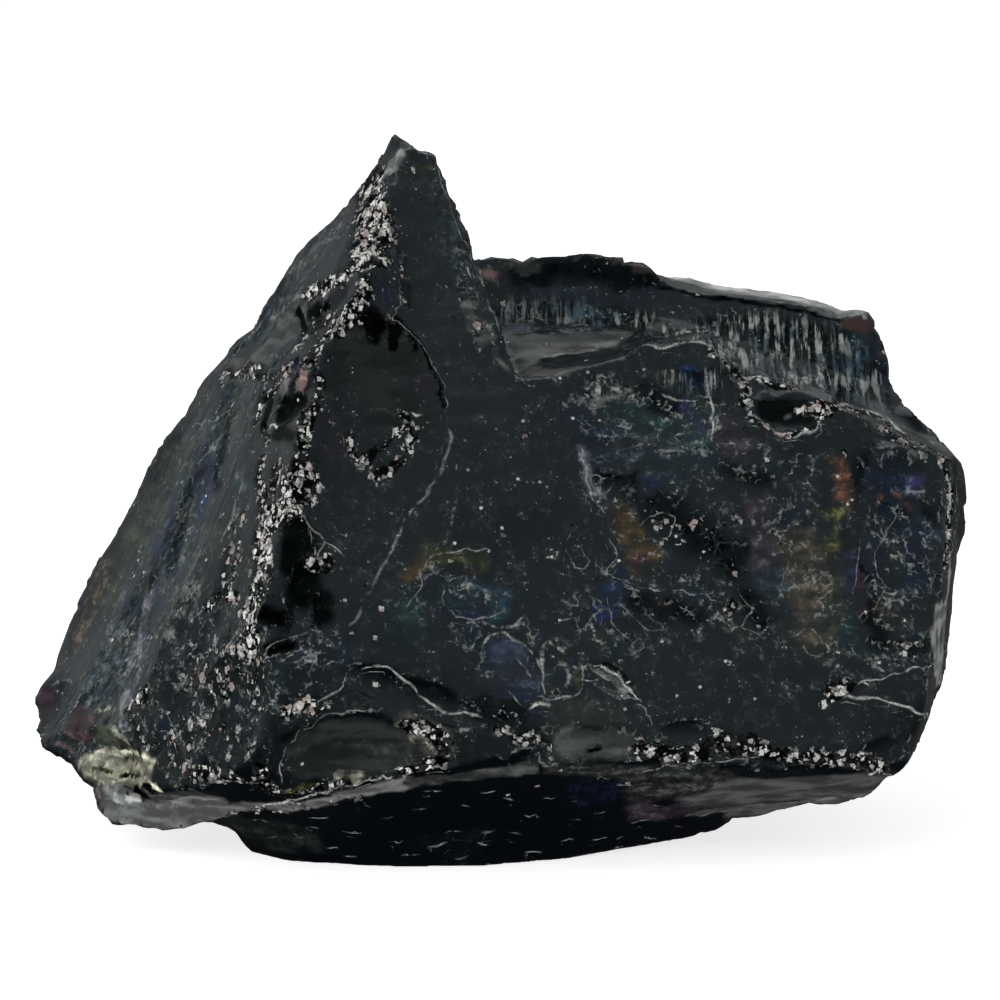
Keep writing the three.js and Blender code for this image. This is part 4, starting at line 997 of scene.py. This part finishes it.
scallop = np.maximum(0, noise_at(points, *SCALLOPS) + 0.5 * noise_at(points, *SMALL_SCALLOPS))
chipped = scallop * (1 - smooth_step(edge_distance, 0.1, 1.2)) * smooth_step(clumped, -0.5, 0.4)
chipped *= 1 - spared
facets = sum(height * facets_at(points, size, shift) for height, size, shift in FACETS)
phase = 2.5 + 2.2 * noise_at(points, *TERRACES) + noise_at(points, *SMALL_TERRACES)
terraces = np.floor(phase) + smooth_step(phase - np.floor(phase), 0.75, 1.0)
ribs = np.abs(noise_at(points, *RIBS)) + 0.5 * np.abs(noise_at(points, *SMALL_RIBS))
depth = CHIP_DEPTH * chipped + CRUSH_DEPTH * crush * (0.5 + facets)
depth += TERRACE_DEPTH * weathered * np.clip(terraces, 0, 5) + RIB_DEPTH * hackled * ribs
depth -= painted(points, SWOLLEN, 0.9)
depth *= smooth_step(points[:, 2], *FOOT)
moved = points - normals * depth[:, None]
moved[:, 0] -= painted(points, PULLED, 0.9)
low = np.array(cad_box[0]) / MM + INSIDE
high = np.array(cad_box[1]) / MM - INSIDE
low[0] = LEFT_END
moved = np.clip(moved, low, high)
piece.data.vertices.foreach_set("co", (moved * MM).ravel())
piece.data.update()

# --- the marks that the material reads from the mesh ---


def add_marks(**marks):
    """Keeps each named list of numbers, one for each point, for the material to read."""
    for name, values in marks.items():
        layer = piece.data.attributes.new(name, "FLOAT", "POINT")
        layer.data.foreach_set("value", np.asarray(values, dtype=np.float32))


def add_triples(**triples):
    """The same for lists that have three numbers for each point."""
    for name, rows in triples.items():
        layer = piece.data.attributes.new(name, "FLOAT_VECTOR", "POINT")
        layer.data.foreach_set("vector", np.asarray(rows, dtype=np.float32).ravel())


line_near, line_strength = line_marks(ragged)
tint, tint_amount, tint_broken = patch_colours(ragged, wild, normals)
# Painted shade: where the near-black patches lie, mostly in notches, hollows and creases; the glass
# loses its reflection there.
inky = tint_amount * (tint.max(axis=1) < BLACKEST)
# Painted shade: how much each face looks down, for darkening the underside.
below = smooth_step(normals[:, 2], *SHADED_UNDERSIDE)
speck = distance_to(points, spots(DOTS), 3 * DOT) / DOT
blotch = noise_at(points, *BLOTCHES)
hue = noise_at(points, *HUES)
brushed = noise_at(points, *BRUSHED)
add_marks(edge=edge_distance, crush=crush, weathered=weathered, streaked=streaked, hackled=hackled)
add_marks(blotch=blotch, hue=hue, brushed=brushed, phase=phase, speck=speck, inky=inky, below=below)
add_marks(tint_amount=tint_amount, tint_broken=tint_broken)
add_triples(line_near=line_near, line_strength=line_strength, tint=tint)

# --- the material ---

STREAKS_LEAN = math.radians(33)  # the left face's streaks, from upright
BLOTCH_SHARE = 0.12  # how much the broad blotches sway where the film and the rubble are
COVER = 0.72  # share of the densest crushed glass that is grains


class Value:
    """What a node gives. Sums, differences, products and comparisons of such values make nodes of
    their own."""

    def __init__(self, nodes, socket):
        self.nodes = nodes
        self.socket = socket

    def __add__(self, other):
        return self.nodes.math("ADD", self, other)

    def __radd__(self, other):
        return self.nodes.math("ADD", other, self)

    def __sub__(self, other):
        return self.nodes.math("SUBTRACT", self, other)

    def __rsub__(self, other):
        return self.nodes.math("SUBTRACT", other, self)

    def __mul__(self, other):
        return self.nodes.math("MULTIPLY", self, other)

    __rmul__ = __mul__

    def __lt__(self, other):
        return self.nodes.math("LESS_THAN", self, other)

    def __abs__(self):
        return self.nodes.math("ABSOLUTE", self)

    def rise(self, low, high):
        """0 up to low, 1 from high on, and a smooth rise between; with low above high, a fall."""
        values = {"Value": self, "From Min": min(low, high), "From Max": max(low, high)}
        values |= {"To Min": float(low > high), "To Max": float(low < high)}
        node = self.nodes.node("MapRange", values, interpolation_type="SMOOTHSTEP")
        return Value(self.nodes, node.outputs["Result"])


def most(first, *others):
    """The greatest of some values."""
    for other in others:
        first = first.nodes.math("MAXIMUM", first, other)
    return first


class Nodes:
    """A short way to write nodes."""

    def __init__(self, tree):
        self.tree = tree

    def put(self, socket, value):
        if isinstance(value, Value):
            self.tree.links.new(value.socket, socket)
        else:
            socket.default_value = value

    def node(self, kind, values, **settings):
        """A new node with these settings, and with these values put into it."""
        node = self.tree.nodes.new("ShaderNode" + kind)
        for name, setting in settings.items():
            setattr(node, name, setting)
        for key, value in values.items():
            self.put(node.inputs[key], value)
        return node

    def read(self, kind, output, **settings):
        """What a node without inputs gives."""
        return Value(self, self.node(kind, {}, **settings).outputs[output])

    def math(self, operation, a, b=0.0):
        return Value(self, self.node("Math", {0: a, 1: b}, operation=operation).outputs[0])

    def parts(self, triple):
        """The three numbers of a vector or a colour."""
        return [Value(self, part) for part in self.node("SeparateXYZ", {0: triple}).outputs]

    def mix(self, share, a, b):
        a, b = ((*colour, 1) if isinstance(colour, tuple) else colour for colour in (a, b))
        node = self.node("Mix", {0: share, 6: a, 7: b}, data_type="RGBA")
        return Value(self, node.outputs[2])


class Glass(Nodes):
    """Nodes for the glass, with places in millimetres. It has the marks that the mesh carries, the
    noises that break them up, and the colour so far, over which each layer lays its own."""

    def __init__(self, tree):
        super().__init__(tree)
        self.place = self.vector("SCALE", self.read("TexCoord", "Object"), 1 / MM)
        self.colour = GLASS
        self.crush = self.mark("crush")
        self.weathered = self.mark("weathered")
        self.streaked = self.mark("streaked")
        self.hackled = self.mark("hackled")
        self.blotch = self.mark("blotch")
        self.hue = self.mark("hue")
        self.below = self.mark("below")
        self.above = 1 - self.below
        self.tint_amount = self.mark("tint_amount")
        self.kept = 1 - self.mark("tint_broken")
        self.calm = 1 - self.tint_amount * self.kept.rise(0.6, 0.9) * 0.85
        self.mottle = self.noise(1.3, 4, 0.62)
        self.fine = self.noise(0.42, 2, 0.6)
        self.drift = self.noise(2.6, 3, 0.55)

    def lay(self, share, colour):
        self.colour = self.mix(share, self.colour, colour)

    def mark(self, name, output="Fac"):
        return self.read("Attribute", output, attribute_name=name)

    def vector(self, operation, a, b):
        values = {0: a, "Scale" if operation == "SCALE" else 1: b}
        node = self.node("VectorMath", values, operation=operation)
        return Value(self, node.outputs["Value" if operation == "DOT_PRODUCT" else "Vector"])

    def noise(self, size, detail, rough, place=None, output="Fac"):
        values = {"Vector": place or self.place, "Scale": 1 / size}
        values |= {"Detail": detail, "Roughness": rough}
        return Value(self, self.node("TexNoise", values).outputs[output])

    def stretched(self, size, turn=0.0):
        """Places as seen by a texture stretched to size along each axis, turned about Y first."""
        values = {"Vector": self.place, "Rotation": (0, turn, 0), "Scale": size}
        return Value(self, self.node("Mapping", values, vector_type="TEXTURE").outputs[0])

    def centred(self, colour):
        return self.vector("SUBTRACT", colour, (0.5, 0.5, 0.5))

    def wander(self, size, far):
        """Places moved about by up to half of far, by noise of that size."""
        offset = self.centred(self.noise(size, 1, 0.5, output="Color"))
        return self.vector("ADD", self.place, self.vector("SCALE", offset, far))

    def cells(self, size, place, metric):
        """How far each place is from the middle of its cell, the cell's three random numbers, and
        its middle."""
        node = self.node("TexVoronoi", {"Vector": place, "Scale": 1 / size}, distance=metric)
        return [Value(self, node.outputs[name]) for name in ("Distance", "Color", "Position")]


def lay_film(n):
    """A thin uneven film everywhere, and a thicker one on the worn glass, whose hue drifts."""
    thin = (n.mottle + BLOTCH_SHARE * n.blotch).rise(0.42, 0.72)
    n.lay(0.5 * thin, THIN_FILM)
    film = n.weathered * (n.drift + BLOTCH_SHARE * n.blotch).rise(0.42, 0.62)
    colour = n.mix(n.hue.rise(-0.30, -0.10), BLUE_FILM, GREEN_FILM)
    colour = n.mix(n.hue.rise(0.15, 0.40), colour, BROWN_FILM)
    colour = n.mix(0.7 * n.mottle.rise(0.48, 0.74), colour, PALE_FILM)
    n.lay(0.85 * film, colour)
    return film


def lay_streaks(n):
    """Streaks down the left face, and painted shade over the underside. It gives back the noise that
    draws the streaks, too."""
    fall = n.noise(1.0, 4, 0.6, n.stretched((0.6, 1.2, 2.6), STREAKS_LEAN))
    streak = n.streaked * (fall + 0.25 * n.fine).rise(0.52, 0.80)
    n.lay(streak, n.mix(n.hue.rise(-0.1, 0.2), BLUE_STREAK, GREY_STREAK))
    # painted shade: near-black DEEP over the faces that look down
    n.lay(0.95 * n.below, DEEP)
    return fall, streak


def lay_patches(n):
    """The patches of patina, broken into flecks where they are loose."""
    flecks = (0.6 * n.mottle + 0.4 * n.fine).rise(0.44, 0.58)
    patch = n.tint_amount * most(n.kept, flecks)
    uneven = 0.45 + 0.55 * n.mottle.rise(0.36, 0.62)
    layered = (n.mark("brushed") + 0.5 * n.fine).rise(-0.10, 0.70)
    tint = n.mark("tint", "Vector")
    tint = n.mix(layered, n.vector("SCALE", tint, 0.55), n.vector("SCALE", tint, 1.5))
    n.lay(patch * most(uneven, n.kept.rise(0.8, 1.0)), tint)
    return patch


def lay_ribs(n):
    """Upright hackle on the wall: pale ribs, with black between them as painted shade in the
    grooves.
    """
    upright = n.noise(1.0, 4, 0.65, n.stretched((0.55, 5.0, 5.0)))
    # painted shade: black in the grooves between the ribs
    n.lay(n.hackled * upright.rise(0.52, 0.44) * 0.95, INK)
    rib = n.hackled * upright.rise(0.49, 0.60) * n.mottle.rise(0.32, 0.50)
    n.lay(0.9 * rib, n.mix(n.hue.rise(-0.2, 0.15), BLUE_RIB, PALE_RIB))
    return rib


def lay_threads(n):
    """Thin curls with a dark line beside them, and the outlines of the worn terraces."""
    curl = n.noise(1.5, 2, 0.5) - 0.5
    worn = most(n.weathered, 1.2 * n.crush, 0.4 * n.streaked, 0.08)
    worn = worn * (n.mottle + 0.1 * n.blotch).rise(0.47, 0.60) * n.calm
    shade = curl.rise(0.02, 0.05) * curl.rise(0.14, 0.08) * worn
    n.lay(0.8 * shade, INK)
    chalky = n.mix(n.fine.rise(0.40, 0.62), DARK_THREAD, PALE_THREAD)
    n.lay(abs(curl).rise(0.050, 0.014) * worn * n.above, chalky)
    step = n.math("FRACT", n.mark("phase") + 0.5 * n.fine)
    outline = step.rise(0.88, 0.93) * step.rise(1.0, 0.96) * n.weathered.rise(0.2, 0.7)
    outline = outline * n.drift.rise(0.46, 0.56) * n.mottle.rise(0.46, 0.58)
    n.lay(outline * n.above * n.calm, chalky)


def lay_edge_highlights(n):
    """Pale edges where the glass is thin: a painted highlight along the sharp edges."""
    rim = n.mark("edge") + 0.9 * n.fine
    edge = rim.rise(0.66, 0.46) * n.blotch.rise(-0.15, 0.3) * n.calm
    n.lay(0.75 * edge, EDGE_HIGHLIGHT)
    return edge


def lay_lines(n):
    """The pale lines and the bright specks."""
    nears = n.parts(n.mark("line_near", "Vector"))
    strengths = n.parts(n.mark("line_strength", "Vector"))
    widened = 1.6 * n.fine
    breaks = n.mottle.rise(0.36, 0.56)
    lines = []
    for near, strength in zip(nears, strengths):
        line = (abs(near) + widened).rise(2.1, 1.0)
        lines.append(line * strength * most(breaks, strength.rise(0.7, 0.95)))
    speck = (n.mark("speck") + 0.6 * n.fine).rise(1.6, 1.1)
    drawn = most(*lines, speck)
    n.lay(drawn, n.mix(n.fine.rise(0.38, 0.62), DULL_LINE, BRIGHT_LINE))
    return drawn


def lay_rubble(n):
    """Crushed glass: dark rubble with pale grains in it, a few of them pinkish, each with a painted
    shadow round it. It gives back how crushed each place is, those painted shadows, the grains, and
    how their tops tilt."""
    place = n.wander(0.9, 0.5)
    big_size, big_colour, big_middle = n.cells(0.95, place, "MANHATTAN")
    small_size, small_colour, _ = n.cells(0.55, place, "CHEBYCHEV")
    big = n.parts(big_colour)
    small = n.parts(small_colour)
    broken = (n.crush + 0.3 * n.fine).rise(0.35, 0.75)
    n.lay(broken, n.mix((n.mottle + 0.12 * big[1]).rise(0.48, 0.70), INK, RUBBLE))

    cover = 0.35 + 0.65 * (n.mottle + BLOTCH_SHARE * n.blotch).rise(0.36, 0.56)
    cover = n.crush * cover * COVER
    big_here = big[0] < cover
    small_here = small[0] < cover + 0.003
    big_size = big_size - 0.16 * big[2] + 0.3 * n.fine
    small_size = small_size - 0.12 * small[2] + 0.2 * n.fine
    # painted shadow: a black halo round each grain
    grain_shadow = most(big_here * big_size.rise(1.25, 0.95), small_here * small_size.rise(0.80, 0.58))
    n.lay(0.9 * grain_shadow, INK)

    grain = most(big_here * big_size.rise(0.88, 0.70), small_here * small_size.rise(0.52, 0.38))
    light = (0.75 * small[1] + 0.5 * n.fine) * n.fine.rise(0.2, 0.55)
    light = light * (0.6 + 0.45 * n.crush.rise(0.25, 0.7))
    pale = n.mix(light.rise(0.10, 0.95), DARK_GRAIN, PALE_GRAIN)
    n.lay(grain, n.mix(0.5 * big[1].rise(0.78, 0.86), pale, PINK_GRAIN))
    offset = n.vector("SUBTRACT", n.place, big_middle)
    return broken, grain_shadow, grain, n.vector("DOT_PRODUCT", offset, n.centred(big_colour))


def lay_dust_and_glints(n):
    """Lone ragged flecks where the fine noise peaks: pale specks on the glass, and painted glints.
    """
    dust_and_glint = (n.fine + 0.35 * n.mottle).rise(0.835, 0.91) * n.blotch.rise(-0.2, 0.3)
    n.lay(dust_and_glint * n.above * n.calm, DUST_AND_GLINT)


def bumps(n, tilt):
    """A finer relief than the mesh's: tilted flats on the crushed glass, and a slight grain."""
    flats = tilt * n.crush.rise(0.1, 0.5) * 1.4
    grain = n.fine * (0.5 * n.crush + 0.25 * n.weathered + 0.07)
    values = {"Height": flats + grain + 0.35 * n.drift, "Distance": 0.3 * MM, "Strength": 0.8}
    return Value(n, n.node("Bump", values).outputs["Normal"])


def glass_material():
    """Black glass whose marks are read from the mesh and broken up by fine noise."""
    material = bpy.data.materials.new("slag_glass")
    material.use_nodes = True
    n = Glass(material.node_tree)
    film = lay_film(n)
    fall, streak = lay_streaks(n)
    patch = lay_patches(n)
    rib = lay_ribs(n)
    lay_threads(n)
    edge = lay_edge_highlights(n)
    drawn = lay_lines(n)
    broken, grain_shadow, grain, tilt = lay_rubble(n)
    lay_dust_and_glints(n)

    dull = most(grain, 0.5 * patch, 0.6 * film, streak, rib, drawn, edge)
    ribbed = n.hackled * (1 - rib) * 0.8
    sunk = n.streaked * fall.rise(0.50, 0.34) * 0.55
    # Painted shade: the glass loses most of its reflection on the near-black patches in notches and
    # hollows, over the rubble and round its grains, between the ribs and in the sunk parts of the
    # streaks.
    black = most(n.mark("inky"), 0.85 * broken, grain_shadow, ribbed, sunk) * (1 - grain)
    values = {
        "Base Color": n.colour,
        "Roughness": 0.35 * dull + 0.3 * n.mottle + 0.02,
        "Specular IOR Level": 0.5 - 0.46 * black,
        "Specular Tint": (0.80, 0.96, 1.0, 1),
        "IOR": 1.5,
        "Normal": bumps(n, tilt),
    }
    shader = material.node_tree.nodes["Principled BSDF"]
    for name, value in values.items():
        n.put(shader.inputs[name], value)
    return material


piece.data.materials.clear()
piece.data.materials.append(glass_material())
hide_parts("glass_cullet")
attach(piece, "root")

# --- the floor, the light and the camera, in metres ---

FLOOR_HALF = 4.0  # half of the floor's side
FLOOR_GLOW = 0.78  # how much light it gives off itself, so that it stays pale all over
BEHIND = (1, 1, 1)  # the colour that the camera sees behind everything


def add_floor():
    """A pale floor that isn't mirrored in the glass."""
    mesh = bpy.data.meshes.new("floor")
    signs = [(-1, -1), (1, -1), (1, 1), (-1, 1)]
    corners = [(FLOOR_HALF * x, FLOOR_HALF * y, 0) for x, y in signs]
    mesh.from_pydata(corners, [], [(0, 1, 2, 3)])
    floor = bpy.data.objects.new("floor", mesh)
    bpy.context.scene.collection.objects.link(floor)
    material = bpy.data.materials.new("floor")
    material.use_nodes = True
    shader = material.node_tree.nodes["Principled BSDF"]
    shader.inputs["Base Color"].default_value = (0.8, 0.8, 0.8, 1)
    shader.inputs["Roughness"].default_value = 0.9
    shader.inputs["Emission Color"].default_value = (1, 1, 1, 1)
    shader.inputs["Emission Strength"].default_value = FLOOR_GLOW
    mesh.materials.append(material)
    floor.visible_glossy = False


def add_world():
    """A studio that is dim from below and pale from above."""
    world = bpy.data.worlds.new("studio")
    world.use_nodes = True
    bpy.context.scene.world = world
    n = Nodes(world.node_tree)
    height = n.parts(n.read("TexCoord", "Generated"))[2]
    lift = n.node("MapRange", {"Value": height, "From Min": -1.0})
    ramp = n.node("ValToRGB", {"Fac": Value(n, lift.outputs["Result"])})
    ramp.color_ramp.elements[0].position = 0.30
    ramp.color_ramp.elements[0].color = (0.02, 0.02, 0.02, 1)
    ramp.color_ramp.elements[1].position = 0.85
    ramp.color_ramp.elements[1].color = (0.30, 0.31, 0.32, 1)
    seen = n.read("LightPath", "Is Camera Ray")
    sky = n.mix(seen, Value(n, ramp.outputs["Color"]), BEHIND)
    n.put(world.node_tree.nodes["Background"].inputs["Color"], sky)


def add_softbox(name, azimuth, elevation, distance, size, radiance, mirrored=True):
    """A square light aimed at the glass. Azimuth is from the camera's side, leftwards below 0.
    One that isn't mirrored lights the glass without a highlight on it."""
    light = bpy.data.lights.new(name, "AREA")
    light.shape = "SQUARE"
    light.size = size
    light.energy = radiance * math.pi * size**2
    lamp = bpy.data.objects.new(name, light)
    bpy.context.scene.collection.objects.link(lamp)
    turn, tilt = math.radians(azimuth), math.radians(elevation)
    way = Vector((math.sin(turn) * math.cos(tilt), -math.cos(turn) * math.cos(tilt), math.sin(tilt)))
    lamp.location = way * distance
    lamp.visible_glossy = mirrored
    lamp.rotation_euler = (-way).to_track_quat("-Z", "Y").to_euler()


def add_camera():
    camera = bpy.data.objects.new("camera", bpy.data.cameras.new("camera"))
    bpy.context.scene.collection.objects.link(camera)
    camera.data.sensor_width = SENSOR
    camera.data.lens = FOCAL * SENSOR / PICTURE
    camera.data.clip_start = 0.01
    camera.location = EYE * MM
    camera.rotation_euler = (-BACKWARDS).to_track_quat("-Z", "Y").to_euler()
    bpy.context.scene.camera = camera


add_floor()
add_world()
add_softbox("overhead", azimuth=165, elevation=55, distance=1.0, size=0.9, radiance=0.45)
add_softbox("left", azimuth=-130, elevation=10, distance=1.0, size=0.6, radiance=0.14)
add_softbox("key", azimuth=-60, elevation=42, distance=1.0, size=1.2, radiance=1.5, mirrored=False)
add_camera()
bpy.context.scene.view_settings.view_transform = "Standard"
bpy.context.scene.cycles.max_bounces = 4
